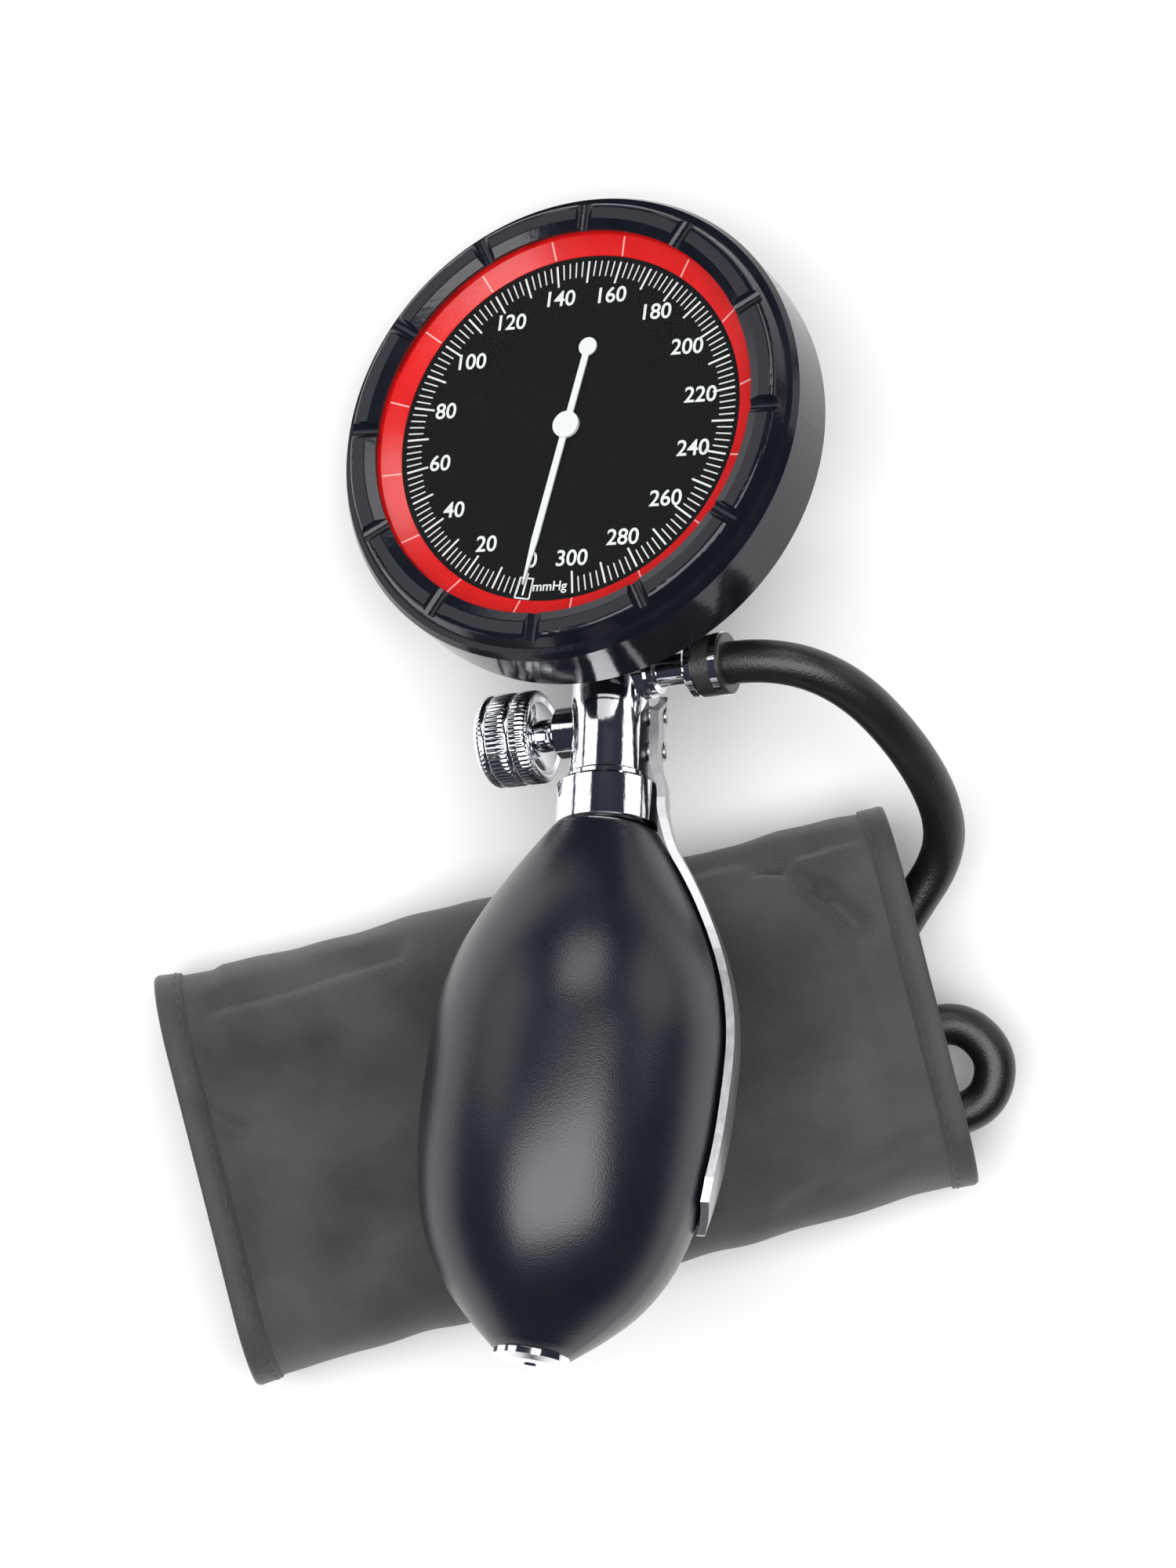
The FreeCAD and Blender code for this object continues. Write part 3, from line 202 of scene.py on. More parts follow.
def dress(finish, *nodes):
    """Gives CAD nodes their finish."""
    for name in nodes:
        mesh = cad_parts[name].data
        mesh.materials.clear()
        mesh.materials.append(finish)


enamel = Finish("black_enamel")
enamel_rub = enamel.grain(160, 4)
enamel_ripple = enamel.grain(700, 2)
dress(enamel.surface(
    Base_Color=enamel.between(enamel_rub, (0.0035, 0.004, 0.007), (0.009, 0.010, 0.016)),
    Roughness=0.08 + 0.12 * enamel_rub,
    Specular_IOR_Level=0.36,
    Normal=enamel.bumps(enamel_ripple, 0.00003),
), "rear_case", "bezel")

# Case screws, plated steel.
plated = Finish("plated_steel")
plated_lines = plated.grain(1500, 3, stretch=(1, 1, 0.05))
STEEL = plated.surface(
    Base_Color=plated.between(plated_lines, (0.42, 0.42, 0.43), (0.66, 0.66, 0.67)),
    Metallic=1.0,
    Roughness=0.22 + 0.2 * plated_lines,
    Normal=plated.bumps(plated_lines, 0.00003),
)
dress(STEEL, "case_screw_1", "case_screw_2", "case_screw_3", "rocking_shaft", "capsule_stem",
      "sector_arbor", "pinion_arbor", "intake_ball")

# ---------------------------------------------------------------- dial
# Aluminium plate sprayed satin black, with its scale screen printed in white:
# a mark every 2 mmHg, a longer one every 10, and upright numbers every 20.

ZERO_ANGLE = 261.25
SWEEP = 342.5
TOP_PRESSURE = 300
NUMBER_RADIUS = 0.0267
NUMBER_SIZE = 0.0044
PRINT_THICK = 0.00004
dial_top = max((GAUGE.inverted() @ v.co).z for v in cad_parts["dial_plate"].data.vertices)

satin = Finish("dial_black")
satin_speck = satin.grain(3000, 2)
dress(satin.surface(
    Base_Color=satin.between(satin_speck, (0.0015, 0.0015, 0.0018), (0.005, 0.005, 0.006)),
    Roughness=0.70 + 0.12 * satin_speck,
    Specular_IOR_Level=0.08,
    Normal=satin.bumps(satin_speck, 0.00003),
), "dial_plate")


def dial_angle(pressure):
    return math.radians(ZERO_ANGLE - SWEEP * pressure / TOP_PRESSURE)


def bar(bm, angle, inner, outer, width, height=dial_top, rise=0.0):
    """One printed line along a radius of the dial."""
    lean = math.atan2(rise, outer - inner)
    middle = Vector(((inner + outer) / 2, 0, height + rise / 2 + PRINT_THICK / 2))
    bmesh.ops.create_cube(bm, size=1, matrix=(
        GAUGE @ Matrix.Rotation(angle, 4, "Z") @ Matrix.Translation(middle)
        @ Matrix.Rotation(-lean, 4, "Y")
        @ Matrix.Diagonal(((outer - inner) / math.cos(lean), width, PRINT_THICK, 1))))


def letters(bm, text, x, y, height):
    """Flat printed characters centred on a point of the dial."""
    words = bpy.data.curves.new("words", "FONT")
    words.body = text
    words.size = height
    words.align_x, words.align_y = "CENTER", "CENTER"
    words.extrude = PRINT_THICK / 2
    words.offset = height * 0.012
    holder = bpy.data.objects.new("words", words)
    bpy.context.scene.collection.objects.link(holder)
    bpy.context.view_layer.update()
    drawn = holder.evaluated_get(bpy.context.evaluated_depsgraph_get())
    flat = bpy.data.meshes.new_from_object(drawn)
    bpy.data.objects.remove(holder)
    flat.transform(GAUGE @ Matrix.Translation((x, y, dial_top + PRINT_THICK / 2)))
    bm.from_mesh(flat)


def piece_of(name, bm, smooth=True):
    """Closes a bmesh into an object whose place is in its mesh."""
    mesh = bpy.data.meshes.new(name)
    for face in bm.faces:
        face.smooth = smooth
    bm.to_mesh(mesh)
    bm.free()
    return bpy.data.objects.new(name, mesh)


scale_print = bmesh.new()
for pressure in range(0, TOP_PRESSURE + 1, 2):
    ten = pressure % 10 == 0
    bar(scale_print, dial_angle(pressure), 0.0292 if ten else 0.0305, 0.0336,
        0.00038 if ten else 0.00024)
    if pressure % 20 == 0:
        turn = dial_angle(pressure)
        letters(scale_print, str(pressure), NUMBER_RADIUS * math.cos(turn),
                NUMBER_RADIUS * math.sin(turn), NUMBER_SIZE)
letters(scale_print, "mmHg", 0.0003, -0.0317, 0.0026)
ZERO_BOX = dial_angle(0)
ZERO_LINE = 0.0003
ZERO_BOX_ENDS = (0.0302, 0.0342)
for side in (-1, 1):
    bar(scale_print, ZERO_BOX + side * 0.045, *ZERO_BOX_ENDS, ZERO_LINE)
for ring in ZERO_BOX_ENDS:
    bar(scale_print, ZERO_BOX, ring - ZERO_LINE / 2, ring + ZERO_LINE / 2, 0.0030)

ink = Finish("white_print")
ink_edge = ink.grain(4000, 2)
WHITE = ink.surface(
    Base_Color=ink.between(ink_edge, (0.60, 0.60, 0.59), (0.86, 0.86, 0.85)),
    Roughness=0.38 + 0.15 * ink_edge,
)
add_piece(piece_of("dial_print", scale_print, smooth=False), WHITE)

# Pressed aluminium pointer in the same white, with its round counterweight.
dress(WHITE, "pointer")

# ---------------------------------------------------------------- chapter ring
# Sloped plastic ring in bright gloss red round the dial, with fine pale lines
# across it at every 20 mmHg.

ring_red = Finish("ring_red")
ring_cloud = ring_red.grain(220, 3)
dress(ring_red.surface(
    Base_Color=ring_red.between(ring_cloud, (0.56, 0.004, 0.005), (0.72, 0.010, 0.010)),
    Roughness=0.16 + 0.12 * ring_cloud,
    Normal=ring_red.bumps(ring_red.grain(1200, 2), 0.00002),
), "chapter_ring")

ring_lines = bmesh.new()
for pressure in range(0, TOP_PRESSURE + 1, 20):
    bar(ring_lines, dial_angle(pressure), 0.0347, 0.0381, 0.0003, dial_top + 0.00032, 0.00134)
pink = Finish("pale_line")
pink_fade = pink.grain(1500, 2)
add_piece(piece_of("ring_lines", ring_lines, smooth=False), pink.surface(
    Base_Color=pink.between(pink_fade, (0.80, 0.32, 0.28), (0.86, 0.48, 0.43)),
    Roughness=0.3 + 0.1 * pink_fade,
))

# ---------------------------------------------------------------- window and gasket
# Clear acrylic disc under the ring's lip, held on a thin black rubber gasket.

clear = Finish("clear_window")
clear_dust = clear.grain(400, 4)
see_through = clear.node("BsdfTransparent", {"Color": (0.97, 0.98, 0.98, 1)})
gloss = clear.node("BsdfPrincipled", {
    "Base Color": (0.9, 0.92, 0.93, 1), "Metallic": 1.0, "Roughness": 0.02 + 0.02 * clear_dust})
clear_share = clear.node("Fresnel", {"IOR": 1.11})
clear.node_out(clear.node("MixShader", {0: clear_share, 1: see_through, 2: gloss}))
dress(clear.material, "crystal")

seal_rubber = Finish("seal_rubber")
seal_grain = seal_rubber.grain(2200, 2)
SEAL = seal_rubber.surface(
    Base_Color=seal_rubber.between(seal_grain, (0.008, 0.008, 0.008), (0.022, 0.021, 0.020)),
    Roughness=0.5 + 0.2 * seal_grain,
    Normal=seal_rubber.bumps(seal_grain, 0.00006),
)
dress(SEAL, "crystal_gasket", "gland_o_ring", "release_seal", "outlet_disc", "outlet_seat")

# ---------------------------------------------------------------- movement
# Brass plates, wheels and pillars behind the dial, lathe-turned and left bright,
# with the thin bronze capsule that swells under pressure.

brass = Finish("turned_brass")
brass_lines = brass.grain(900, 3, stretch=(1, 0.06, 1))
brass_tarnish = brass.grain(120, 4)
dress(brass.surface(
    Base_Color=brass.between(brass_tarnish, (0.52, 0.36, 0.15), (0.78, 0.58, 0.28)),
    Metallic=1.0,
    Roughness=0.2 + 0.22 * brass_lines + 0.1 * brass_tarnish,
    Normal=brass.bumps(brass_lines, 0.00004),
), "lower_plate", "upper_plate", "plate_pillar_1", "plate_pillar_2", "plate_pillar_3",
    "movement_post_1", "movement_post_2", "movement_post_3", "capsule", "capsule_mount",
    "sector_gear", "hairspring", "hairspring_stud", "pressure_pipe")

# ---------------------------------------------------------------- handle and fittings
# Die-cast and turned brass, polished and chrome plated: the neck with its collar,
# the gland, the stem, the hose barb, the finger strip and the bulb's end valve.

chrome = Finish("bright_chrome")
chrome_cloud = chrome.grain(110, 4)
chrome_hair = chrome.grain(1800, 2, stretch=(1, 0.08, 1))
CHROME = chrome.surface(
    Base_Color=chrome.between(chrome_cloud, (0.72, 0.73, 0.76), (0.86, 0.87, 0.89)),
    Metallic=1.0,
    Roughness=0.035 + 0.05 * chrome_cloud + 0.03 * chrome_hair,
    Normal=chrome.bumps(chrome_hair, 0.000012),
)
dress(CHROME, "valve_body", "bulb_collar", "gland_nut", "release_spindle", "hose_barb",
      "ferrule_band", "end_valve_body", "ball_keeper")

# The strip is sprung steel, barrel-finished to a satin before plating.
satin_chrome = Finish("satin_chrome")
satin_hair = satin_chrome.grain(1600, 3, stretch=(1, 0.1, 1))
dress(satin_chrome.surface(
    Base_Color=satin_chrome.between(satin_hair, (0.34, 0.34, 0.35), (0.50, 0.50, 0.51)),
    Metallic=1.0,
    Roughness=0.26 + 0.12 * satin_hair,
    Normal=satin_chrome.bumps(satin_hair, 0.00003),
), "finger_strip", "strip_rivet_1", "strip_rivet_2")

# ---------------------------------------------------------------- release knob
# Turned brass thumb screw, chrome plated: three straight-knurled bands between
# two grooves, a domed outer end and a dished inner face round the stem.

KNOB_AXIS = 0.0515
KNOB_INNER = 0.0135
KNOB_OUTER = 0.0255
KNOB_RADIUS = 0.00885
KNURLS = 60
KNURL_DEPTH = 0.00028
knob_section = [
    (KNOB_INNER, 0.00312), (KNOB_INNER, 0.0060), (KNOB_INNER + 0.0005, 0.0066),
    (KNOB_INNER, 0.0074), (KNOB_INNER + 0.0003, 0.0082), (KNOB_INNER + 0.0009, KNOB_RADIUS),
    (KNOB_INNER + 0.0036, KNOB_RADIUS), (KNOB_INNER + 0.0039, 0.0081),
    (KNOB_INNER + 0.0047, 0.0081), (KNOB_INNER + 0.0050, KNOB_RADIUS),
    (KNOB_OUTER - 0.0036, KNOB_RADIUS), (KNOB_OUTER - 0.0033, 0.0081),
    (KNOB_OUTER - 0.0026, 0.0081), (KNOB_OUTER - 0.0023, KNOB_RADIUS),
    (KNOB_OUTER - 0.0013, 0.0083), (KNOB_OUTER - 0.0005, 0.0072), (KNOB_OUTER, 0.0054),
    (KNOB_OUTER, 0.0),
]


def spun(section, steps):
    """Turns a section of (along, radius) points about local X."""
    bm = bmesh.new()
    line = [bm.verts.new((-along, radius, 0)) for along, radius in section]
    edges = [bm.edges.new(pair) for pair in zip(line, line[1:])]
    bmesh.ops.spin(bm, geom=line + edges, cent=(0, 0, 0), axis=(1, 0, 0), steps=steps,
                   angle=math.tau, use_merge=True)
    bmesh.ops.remove_doubles(bm, verts=bm.verts, dist=1e-6)
    bmesh.ops.recalc_face_normals(bm, faces=bm.faces)
    return bm


knob = spun(knob_section, 4 * KNURLS)
for vert in knob.verts:
    radius = math.hypot(vert.co.y, vert.co.z)
    if radius > KNOB_RADIUS - 0.0001:
        tooth = math.cos(KNURLS * math.atan2(vert.co.z, vert.co.y))
        shrink = 1 - KNURL_DEPTH * (1 - tooth) / 2 / radius
        vert.co.y *= shrink
        vert.co.z *= shrink
bmesh.ops.transform(knob, matrix=INSTRUMENT @ Matrix.Translation((0, -KNOB_AXIS, 0)),
                    verts=knob.verts)
knob_piece = add_piece(piece_of("release_thumb_screw", knob), CHROME, "valve_screw",
                       ["release_knob"])
knob_edges = knob_piece.modifiers.new("edges", "BEVEL")
knob_edges.width = 0.00012
knob_edges.segments = 2
knob_edges.limit_method = "ANGLE"
knob_edges.angle_limit = math.radians(50)

# ---------------------------------------------------------------- hose ferrule
# Dark moulded sleeve pushed over the hose's end, with a bright band let into it.

sleeve = Finish("dark_sleeve")
sleeve_grain = sleeve.grain(1400, 3)
dress(sleeve.surface(
    Base_Color=sleeve.between(sleeve_grain, (0.010, 0.010, 0.010), (0.028, 0.027, 0.026)),
    Roughness=0.28 + 0.16 * sleeve_grain,
    Specular_IOR_Level=0.7,
    Normal=sleeve.bumps(sleeve_grain, 0.00005),
), "hose_ferrule", "bladder_port")

# ---------------------------------------------------------------- bulb
# Dip-moulded black rubber pear with a thick wall, semi-gloss and slightly blue,
# with the faint seams of its two-part mould; its neck is pushed into the collar.

BULB_LENGTH = 0.098
BULB_RADIUS = 0.0273
BULB_WALL = 0.0024
COLLAR_END = 0.0718
BEND_START = math.radians(4)
BEND_RATE = math.radians(8.5 - 4) / BULB_LENGTH
SEAM_RIDGE = 0.00012
bulb_shares = [
    (0.006, 0.37), (0.05, 0.475), (0.11, 0.61), (0.19, 0.77), (0.28, 0.905), (0.38, 0.985),
    (0.48, 1.0), (0.60, 0.99), (0.71, 0.94), (0.81, 0.84), (0.89, 0.68), (0.95, 0.48), (1.0, 0.27),
]


def smooth_line(points, steps):
    """Points of a smooth curve through the given ones."""
    ends = [2 * points[0] - points[1], *points, 2 * points[-1] - points[-2]]
    line = []
    for before, here, there, after in zip(ends, ends[1:], ends[2:], ends[3:]):
        leave = here + (there - before) / 6
        arrive = there - (after - here) / 6
        line += geometry.interpolate_bezier(here, leave, arrive, there, steps)[:-1]
    return line + [points[-1]]


def bulb_place(station):
    """Frame on the bulb's gently bent axis."""
    heading = BEND_START + BEND_RATE * max(station, 0)
    across = (math.cos(heading) - math.cos(BEND_START)) / BEND_RATE
    along = COLLAR_END + (math.sin(heading) - math.sin(BEND_START)) / BEND_RATE + min(station, 0)
    turned = Matrix.Rotation(-heading, 4, "Z") if station > 0 else Matrix.Identity(4)
    return Matrix.Translation((across, -along, 0)) @ turned


bulb_outline = smooth_line(
    [Vector((f * BULB_LENGTH, r * BULB_RADIUS, 0)) for f, r in bulb_shares], 5)
bulb_section = (
    [(-0.0074, 0.0052), (-0.0074, 0.0064), (0.0001, 0.0065), (0.0001, 0.0094)]
    + [(p.x, p.y) for p in bulb_outline]
    + [(BULB_LENGTH + 0.0002, 0.0066), (BULB_LENGTH + 0.0001, 0.0052)]
)
bulb = spun([(-along, radius) for along, radius in bulb_section], 96)
for vert in bulb.verts:
    station = vert.co.x
    radius = math.hypot(vert.co.y, vert.co.z)
    away = math.degrees(math.atan2(abs(vert.co.z), abs(vert.co.y)))
    swell = 1 + SEAM_RIDGE * math.exp(-(away / 1.6) ** 2) / radius if station > 0.004 else 1
    vert.co = INSTRUMENT @ bulb_place(station) @ Vector((vert.co.y * swell, 0, vert.co.z * swell))
bmesh.ops.recalc_face_normals(bulb, faces=bulb.faces)

pear = Finish("bulb_rubber")
pear_bloom = pear.grain(70, 4)
pear_skin = pear.grain(3200, 2)
bulb_piece = add_piece(piece_of("rubber_bulb", bulb), pear.surface(
    Base_Color=pear.between(pear_bloom, (0.0045, 0.0055, 0.010), (0.009, 0.0105, 0.018)),
    Roughness=0.22 + 0.08 * pear_bloom + 0.03 * pear_skin,
    Specular_IOR_Level=0.55,
    Normal=pear.bumps(pear_skin, 0.00004),
), nodes=["bulb"])
bulb_wall = bulb_piece.modifiers.new("wall", "SOLIDIFY")
bulb_wall.thickness = BULB_WALL
bulb_wall.offset = -1

# ---------------------------------------------------------------- cuff cover
# Grey woven nylon bag, two plies stitched together, rolled flat round its own
# slack bladder. It is soft: it creases over the folds and sinks between them.

CUFF_HALF = 0.0715
CUFF_HEIGHT = 0.031
WIDTH_LEFT, WIDTH_RIGHT = 0.082, 0.075
COVER_LONG = 0.141
COVER_THICK = 0.0026
INNER_INSET = 0.0067
INNER_THICK = 0.0021
THREAD_PITCH = 0.00042
TAPE_THICK = 0.00045
RING_STEPS = 240
# creases in the upper side: start and end on the cuff, depth and width
creases = [
    ((0.0480, 0.0340), (0.0560, 0.0240), 0.0032, 0.0020),
    ((0.0560, 0.0240), (0.0605, 0.0170), 0.0036, 0.0022),
    ((0.0605, 0.0170), (0.0612, -0.0050), 0.0013, 0.0032),
    ((0.0250, 0.0360), (0.0560, 0.0350), 0.0026, 0.0020),
    ((0.0450, 0.0330), (0.0640, 0.0340), 0.0017, 0.0015),
    ((0.0360, 0.0300), (0.0480, 0.0335), 0.0013, 0.0018),
    ((-0.0690, 0.0150), (-0.0620, 0.0080), 0.0018, 0.0019),
    ((-0.0640, 0.0290), (-0.0600, 0.0180), 0.0011, 0.0026),
    ((-0.0560, 0.0190), (-0.0420, 0.0180), 0.0014, 0.0040),
    ((-0.0600, 0.0330), (-0.0250, 0.0345), 0.0024, 0.0022),
    ((-0.0640, -0.0200), (-0.0520, -0.0300), 0.0011, 0.0033),
    ((0.0350, -0.0330), (0.0640, -0.0250), 0.0013, 0.0026),
]


def flat_turn(along, share, inset):
    """Point of the flattened roll: share runs once round it, from the middle of its top."""
    width = WIDTH_LEFT + (WIDTH_RIGHT - WIDTH_LEFT) * (along / CUFF_HALF + 1) / 2
    bend = CUFF_HEIGHT / 2
    flat = width / 2 - bend
    girth = 4 * flat + 2 * math.pi * bend
    run = (share % 1) * girth
    fold = math.pi * bend
    legs = [
        (flat, lambda t: (-t * flat, 1.0, 0.0)),
        (fold, lambda t: (-flat, math.cos(t * math.pi), -math.sin(t * math.pi))),
        (2 * flat, lambda t: (-flat + 2 * t * flat, -1.0, 0.0)),
        (fold, lambda t: (flat, -math.cos(t * math.pi), math.sin(t * math.pi))),
        (flat, lambda t: (flat - t * flat, 1.0, 0.0)),
    ]
    for length, leg in legs:
        if run <= length:
            break
        run -= length
    centre, up, out = leg(min(run / length, 1))
    outward = Vector((0, out, up))
    return Vector((along, centre, bend)) + outward * (bend - inset), outward


def near_line(point, start, end):
    """Distance from a point of the cuff's top to a line on it."""
    start, end = Vector(start), Vector(end)
    run = end - start
    share = min(max((point - start).dot(run) / run.length_squared, 0), 1)
    return (point - start - run * share).length


def cloth_place(along, share, inset):
    """Point in the cover with its creases and slack, at a depth below its outer face."""
    point, outward = flat_turn(along, share, inset + TAPE_THICK)
    up = outward.z
    slack = 0.0012 * noise.noise(Vector((along * 38, point.y * 38, 7)))
    slack += 0.0007 * noise.noise(Vector((along * 95, point.y * 60, point.z * 60 + 3)))
    sink = max(0, 0.0007 + slack)
    if up > 0:
        spot = Vector((along, point.y))
        for start, end, depth, width in creases:
            sink += up * depth * math.exp(-(near_line(spot, start, end) / width) ** 2)
    tie = min(1, max(0, (CUFF_HALF - abs(along)) / 0.006))
    sink = sink * (0.25 + 0.75 * tie) if up > -0.5 else 0.0
    if along < -0.0585 and point.y > 0.012:
        sink += 0.0008 * min(1, (-0.0585 - along) / 0.002) * abs(outward.y)
    return point - outward * sink


def sleeve_mesh(name, start, stop, inset, rings):
    """Open sleeve round the roll, with its weave laid out on a UV map in metres."""
    bm = bmesh.new()
    bmesh.ops.create_circle(bm, segments=RING_STEPS, radius=1)
    edges = list(bm.edges)
    for _ in range(rings):
        made = bmesh.ops.extrude_edge_only(bm, edges=edges)["geom"]
        moved = [g for g in made if isinstance(g, bmesh.types.BMVert)]
        bmesh.ops.translate(bm, vec=(0, 0, 1), verts=moved)
        edges = [g for g in made if isinstance(g, bmesh.types.BMEdge)
                 and abs(g.verts[0].co.z - g.verts[1].co.z) < 0.5]
    weave = bm.loops.layers.uv.new("weave")
    girth = 2 * (WIDTH_LEFT - CUFF_HEIGHT) + math.pi * CUFF_HEIGHT
    for face in bm.faces:
        shares = [math.atan2(loop.vert.co.y, loop.vert.co.x) / math.tau % 1 for loop in face.loops]
        wraps = max(shares) - min(shares) > 0.5
        for loop, share in zip(face.loops, shares):
            across = share + 1 if wraps and share < 0.5 else share
            loop[weave].uv = (start + (stop - start) * loop.vert.co.z / rings, across * girth)
    for vert in bm.verts:
        share = math.atan2(vert.co.y, vert.co.x) / math.tau % 1
        vert.co = CUFF @ cloth_place(start + (stop - start) * vert.co.z / rings, share, inset)
    bmesh.ops.recalc_face_normals(bm, faces=bm.faces)
    lowest = min(bm.faces, key=lambda face: face.calc_center_median().z)
    if lowest.normal.z > 0:
        bmesh.ops.reverse_faces(bm, faces=bm.faces)
    return piece_of(name, bm)


def thicken(piece, thickness, offset=-1, smooth=1):
    """Gives a sleeve its wall and one round of smoothing."""
    wall = piece.modifiers.new("wall", "SOLIDIFY")
    wall.thickness, wall.offset = thickness, offset
    if smooth:
        soft = piece.modifiers.new("soft", "SUBSURF")
        soft.levels = soft.render_levels = smooth


nylon = Finish("grey_nylon")
nylon_map = nylon.node("UVMap", uv_map="weave")
nylon_axes = nylon.tree.nodes.new("ShaderNodeSeparateXYZ")
nylon.tree.links.new(nylon_map.socket, nylon_axes.inputs[0])
THREADS = math.pi / THREAD_PITCH
warp = Wire(nylon.tree, nylon_axes.outputs[0]) * THREADS
weft = Wire(nylon.tree, nylon_axes.outputs[1]) * THREADS
over = (warp.of("SINE") * weft.of("SINE")) > 0.0
warp_top = warp.of("SINE").of("ABSOLUTE")
weft_top = weft.of("SINE").of("ABSOLUTE")
threads = warp_top * over + weft_top * (1 - over)
nylon_cloud = nylon.grain(60, 5)
nylon_shade = nylon.grain(16, 4)
nylon_slub = nylon.grain(900, 3, stretch=(0.25, 1, 1), turn=(0, 0, math.radians(-14.3)))
nylon_tone = nylon_cloud * 0.9 + nylon_shade * 1.1 + nylon_slub * 0.2
nylon_tone = nylon_tone + threads * 0.1 - 0.72
NYLON = nylon.surface(
    Base_Color=nylon.between(nylon_tone, (0.020, 0.020, 0.021), (0.092, 0.092, 0.092)),
    Roughness=0.62 + 0.2 * nylon_slub,
    Specular_IOR_Level=0.35,
    Sheen_Weight=0.25,
    Sheen_Roughness=0.45,
    Normal=nylon.bumps(threads + 0.6 * nylon_slub, 0.00009, 0.8),
)
outer_cover = add_piece(
    sleeve_mesh("cuff_outer_cover", -COVER_LONG / 2, COVER_LONG / 2, 0, 150), NYLON,
    nodes=["cuff_outer_turn"])
thicken(outer_cover, COVER_THICK, smooth=0)
inner_cover = add_piece(
    sleeve_mesh("cuff_inner_cover", -COVER_LONG / 2, COVER_LONG / 2, INNER_INSET, 30), NYLON,
    nodes=["cuff_inner_turn"])
thicken(inner_cover, INNER_THICK)

# ---------------------------------------------------------------- edge binding
# Folded nylon tape, 5 mm wide, sewn over the raw edges of both turns at each end
# with a row of lock stitches along its inner side.

TAPE_WIDTH = 0.0050
STITCH_PITCH = 0.0031
THREAD_RADIUS = 0.00022


def tape_mesh(bm, end, inset, wall):
    """One tape folded round the edge of a turn: out along its face, over, and back inside."""
    side = math.copysign(1, end)
    edge = abs(end)
    section = [
        (edge - TAPE_WIDTH, -0.00005), (edge - TAPE_WIDTH, -TAPE_THICK),
        (edge - 0.0008, -TAPE_THICK - 0.00008), (edge - 0.0001, -TAPE_THICK * 0.3),
        (edge, wall * 0.5), (edge - 0.0001, wall + TAPE_THICK * 0.3),
        (edge - 0.0008, wall + TAPE_THICK), (edge - TAPE_WIDTH * 0.8, wall + TAPE_THICK),
        (edge - TAPE_WIDTH * 0.8, wall - 0.0001),
    ]
    loops = []
    for along, depth in section:
        made = bmesh.ops.create_circle(bm, segments=RING_STEPS, radius=1)["verts"]
        for vert in made:
            share = math.atan2(vert.co.y, vert.co.x) / math.tau % 1
            vert.co = CUFF @ cloth_place(side * along, share, inset + depth)
        loops.append(list({e for v in made for e in v.link_edges}))
    for one, other in zip(loops, loops[1:]):
        bmesh.ops.bridge_loops(bm, edges=one + other)


def stitches(bm, end, inset):
    """Short raised threads in a row round the tape."""
    side = math.copysign(1, end)
    along = end - side * (TAPE_WIDTH - 0.0009)
    count = round(2 * (WIDTH_RIGHT - CUFF_HEIGHT + math.pi * CUFF_HEIGHT / 2) / STITCH_PITCH)
    for n in range(count):
        here = CUFF @ cloth_place(along, n / count, inset - TAPE_THICK)
        there = CUFF @ cloth_place(along, (n + 0.62) / count, inset - TAPE_THICK)
        if min(here.z, there.z) < 0.0006:
            continue
        run = there - here
        turned = run.to_track_quat("X", "Z").to_matrix().to_4x4()
        bmesh.ops.create_uvsphere(
            bm, u_segments=6, v_segments=4, radius=1,
            matrix=Matrix.Translation((here + there) / 2) @ turned
            @ Matrix.Diagonal((run.length / 2, THREAD_RADIUS, THREAD_RADIUS, 1)))


tape = Finish("binding_tape")
tape_ribs = tape.grain(1300, 3, stretch=(1, 0.3, 1))
tape_cloud = tape.grain(90, 3)
TAPE = tape.surface(
    Base_Color=tape.between(
        tape_ribs * 0.6 + tape_cloud * 0.4, (0.022, 0.022, 0.023), (0.060, 0.060, 0.061)),
    Roughness=0.6 + 0.2 * tape_ribs,
    Specular_IOR_Level=0.4,
    Sheen_Weight=0.2,
    Normal=tape.bumps(tape_ribs, 0.00012),
)
for side, end in (("left", -CUFF_HALF), ("right", CUFF_HALF)):
    bound = bmesh.new()
    tape_mesh(bound, end, 0, COVER_THICK)
    tape_mesh(bound, end, INNER_INSET, INNER_THICK)
    bmesh.ops.recalc_face_normals(bound, faces=bound.faces)
    stitches(bound, end, 0)
    add_piece(piece_of(f"edge_tape_{side}", bound), TAPE,
                              nodes=[f"edge_binding_{side}"])

# ---------------------------------------------------------------- bladder and hook patch
# Flat latex bag between the turns, and the hook half of the cuff's fastener,
# a thin nylon pad sewn under the outer turn.

latex = Finish("bladder_latex")
latex_cloud = latex.grain(140, 4)
bladder_piece = add_piece(
    sleeve_mesh("air_bladder", -0.0612, 0.0612, 0.0036, 24), latex.surface(
        Base_Color=latex.between(latex_cloud, (0.020, 0.018, 0.017), (0.040, 0.036, 0.033)),
        Roughness=0.45 + 0.2 * latex_cloud,
        Normal=latex.bumps(latex.grain(900, 3), 0.0001),
    ), nodes=["bladder"])
thicken(bladder_piece, 0.0024)

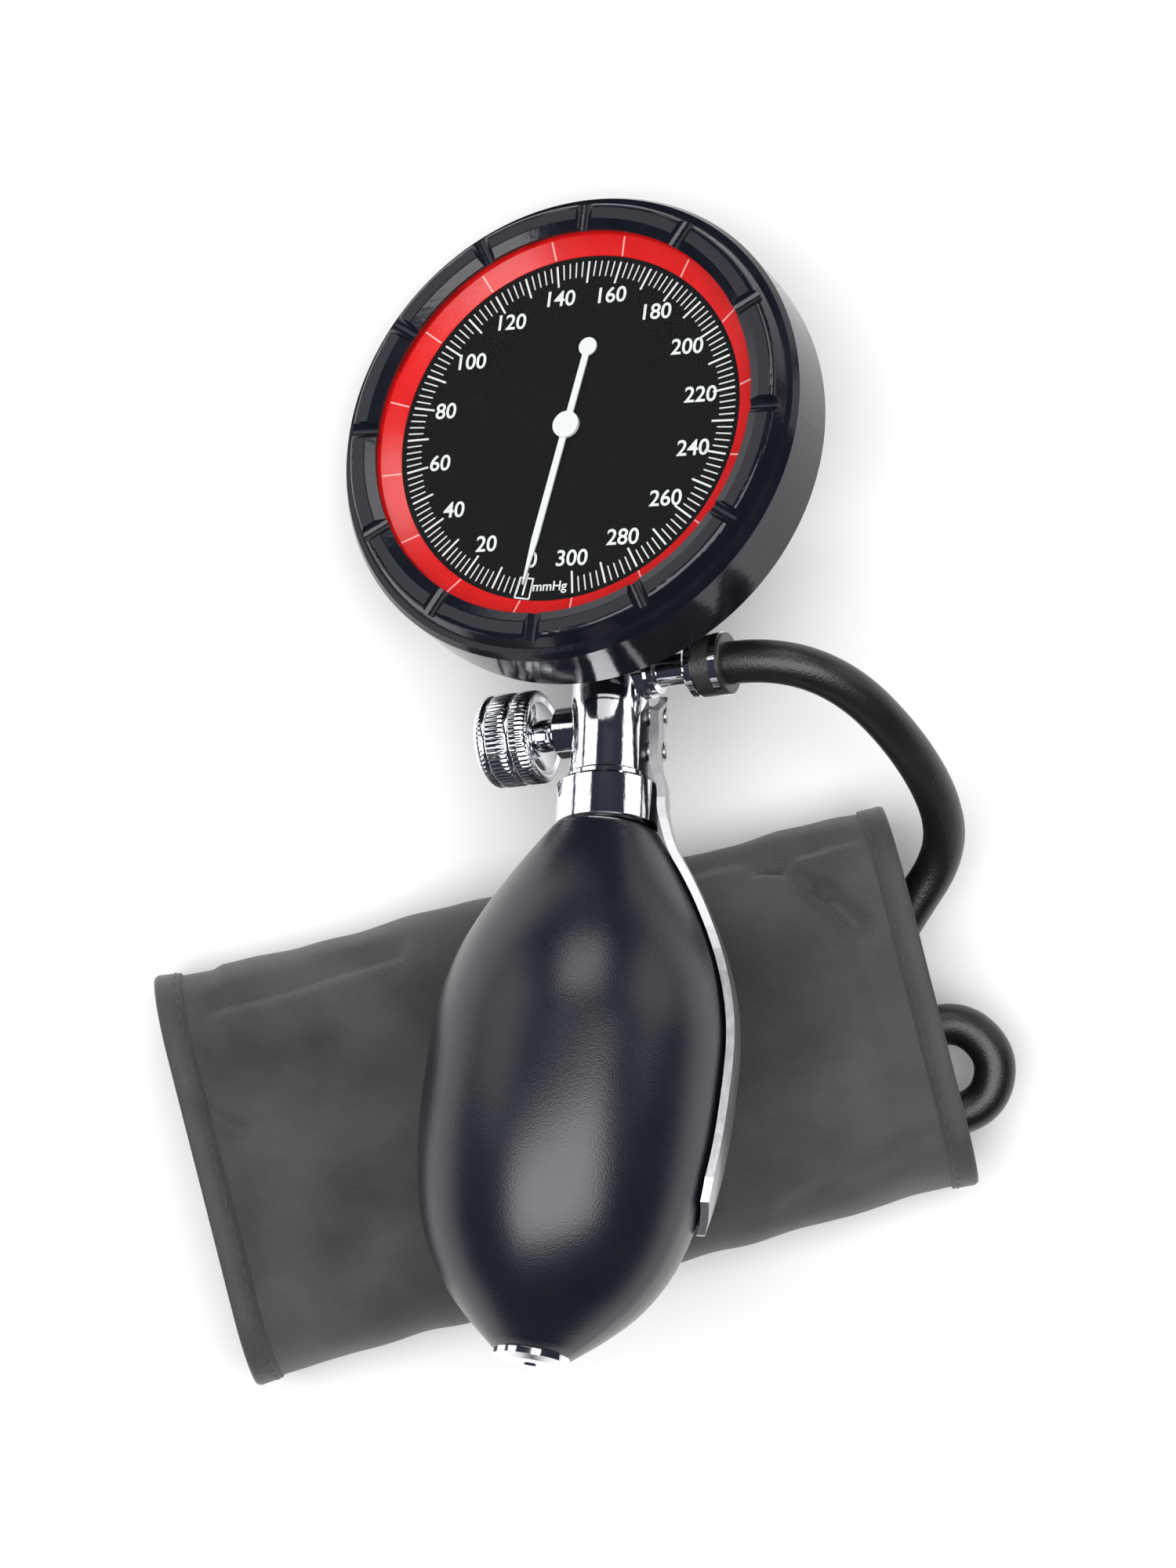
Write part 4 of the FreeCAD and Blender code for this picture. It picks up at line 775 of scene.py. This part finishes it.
PATCH_HALF_LONG, PATCH_HALF_WIDE, PATCH_THICK = 0.0565, 0.0215, 0.0009
hooks = Finish("hook_pad")
hook_dots = hooks.node("TexVoronoi", {"Vector": hooks.place(), "Scale": 900.0})
patch = bmesh.new()
bmesh.ops.create_grid(patch, x_segments=48, y_segments=20, size=1)
for vert in patch.verts:
    along, across = vert.co.x * PATCH_HALF_LONG, vert.co.y * PATCH_HALF_WIDE
    flat = WIDTH_LEFT / 2 - CUFF_HEIGHT / 2
    share = -across / (4 * flat + math.pi * CUFF_HEIGHT)
    vert.co = CUFF @ cloth_place(along, share, COVER_THICK + 0.0001)
patch_piece = add_piece(piece_of("hook_pad", patch), hooks.surface(
    Base_Color=hooks.between(hook_dots, (0.05, 0.05, 0.05), (0.02, 0.02, 0.02)),
    Roughness=0.5 + 0.3 * hook_dots,
    Normal=hooks.bumps(1 - hook_dots, 0.0004),
), nodes=["hook_patch"])
thicken(patch_piece, PATCH_THICK * 0.8, -1, 0)

for cover, girth_inset in ((outer_cover, 0.0), (inner_cover, INNER_INSET)):
    width = (WIDTH_LEFT + WIDTH_RIGHT) / 2
    girth = 2 * (width - CUFF_HEIGHT) + math.pi * (CUFF_HEIGHT - 2 * girth_inset)

# ---------------------------------------------------------------- table and light
# White paper sweep under a wide soft box straight above, two lower ones beyond
# the gauge on either side, and a dim blue-grey room.

table = bmesh.new()
bmesh.ops.create_grid(table, x_segments=2, y_segments=2, size=6)
table_piece = piece_of("paper_table", table)
bpy.context.scene.collection.objects.link(table_piece)
paper = Finish("white_paper")
table_piece.data.materials.append(paper.surface(
    Base_Color=paper.between(paper.grain(3, 2), (0.86, 0.86, 0.86), (0.90, 0.90, 0.90)),
    Roughness=0.9,
))


def soft_box(name, place, aim, width, length, watts):
    """Rectangular lamp that faces a point."""
    lamp = bpy.data.lights.new(name, "AREA")
    lamp.shape = "RECTANGLE"
    lamp.size, lamp.size_y, lamp.energy = width, length, watts
    holder = bpy.data.objects.new(name, lamp)
    holder.location = place
    holder.rotation_euler = (Vector(aim) - Vector(place)).to_track_quat("-Z", "Y").to_euler()
    holder.visible_camera = False
    bpy.context.scene.collection.objects.link(holder)


soft_box("top_box", (-0.10, -0.02, 1.35), (0, 0.0, 0), 1.05, 1.78, 31)
soft_box("left_box", (-1.05, 0.75, 0.50), (0, 0.1, 0.03), 0.75, 0.8, 2.4)
soft_box("right_box", (1.05, 0.75, 0.50), (0, 0.1, 0.03), 0.75, 0.8, 2.4)
soft_box("far_box", (0.0, 1.20, 0.86), (0, 0.05, 0.03), 0.75, 0.50, 4.6)

room = bpy.data.worlds.new("room")
bpy.context.scene.world = room
room.use_nodes = True
room_nodes = room.node_tree
room_nodes.nodes.clear()
dim = room_nodes.nodes.new("ShaderNodeBackground")
dim.inputs[0].default_value = (0.030, 0.034, 0.050, 1)
pale = room_nodes.nodes.new("ShaderNodeBackground")
pale.inputs[0].default_value = (0.90, 0.90, 0.90, 1)
seen = room_nodes.nodes.new("ShaderNodeLightPath")
either = room_nodes.nodes.new("ShaderNodeMixShader")
out = room_nodes.nodes.new("ShaderNodeOutputWorld")
room_nodes.links.new(seen.outputs["Is Camera Ray"], either.inputs[0])
room_nodes.links.new(dim.outputs[0], either.inputs[1])
room_nodes.links.new(pale.outputs[0], either.inputs[2])
room_nodes.links.new(either.outputs[0], out.inputs[0])
bpy.context.scene.view_settings.view_transform = "Standard"
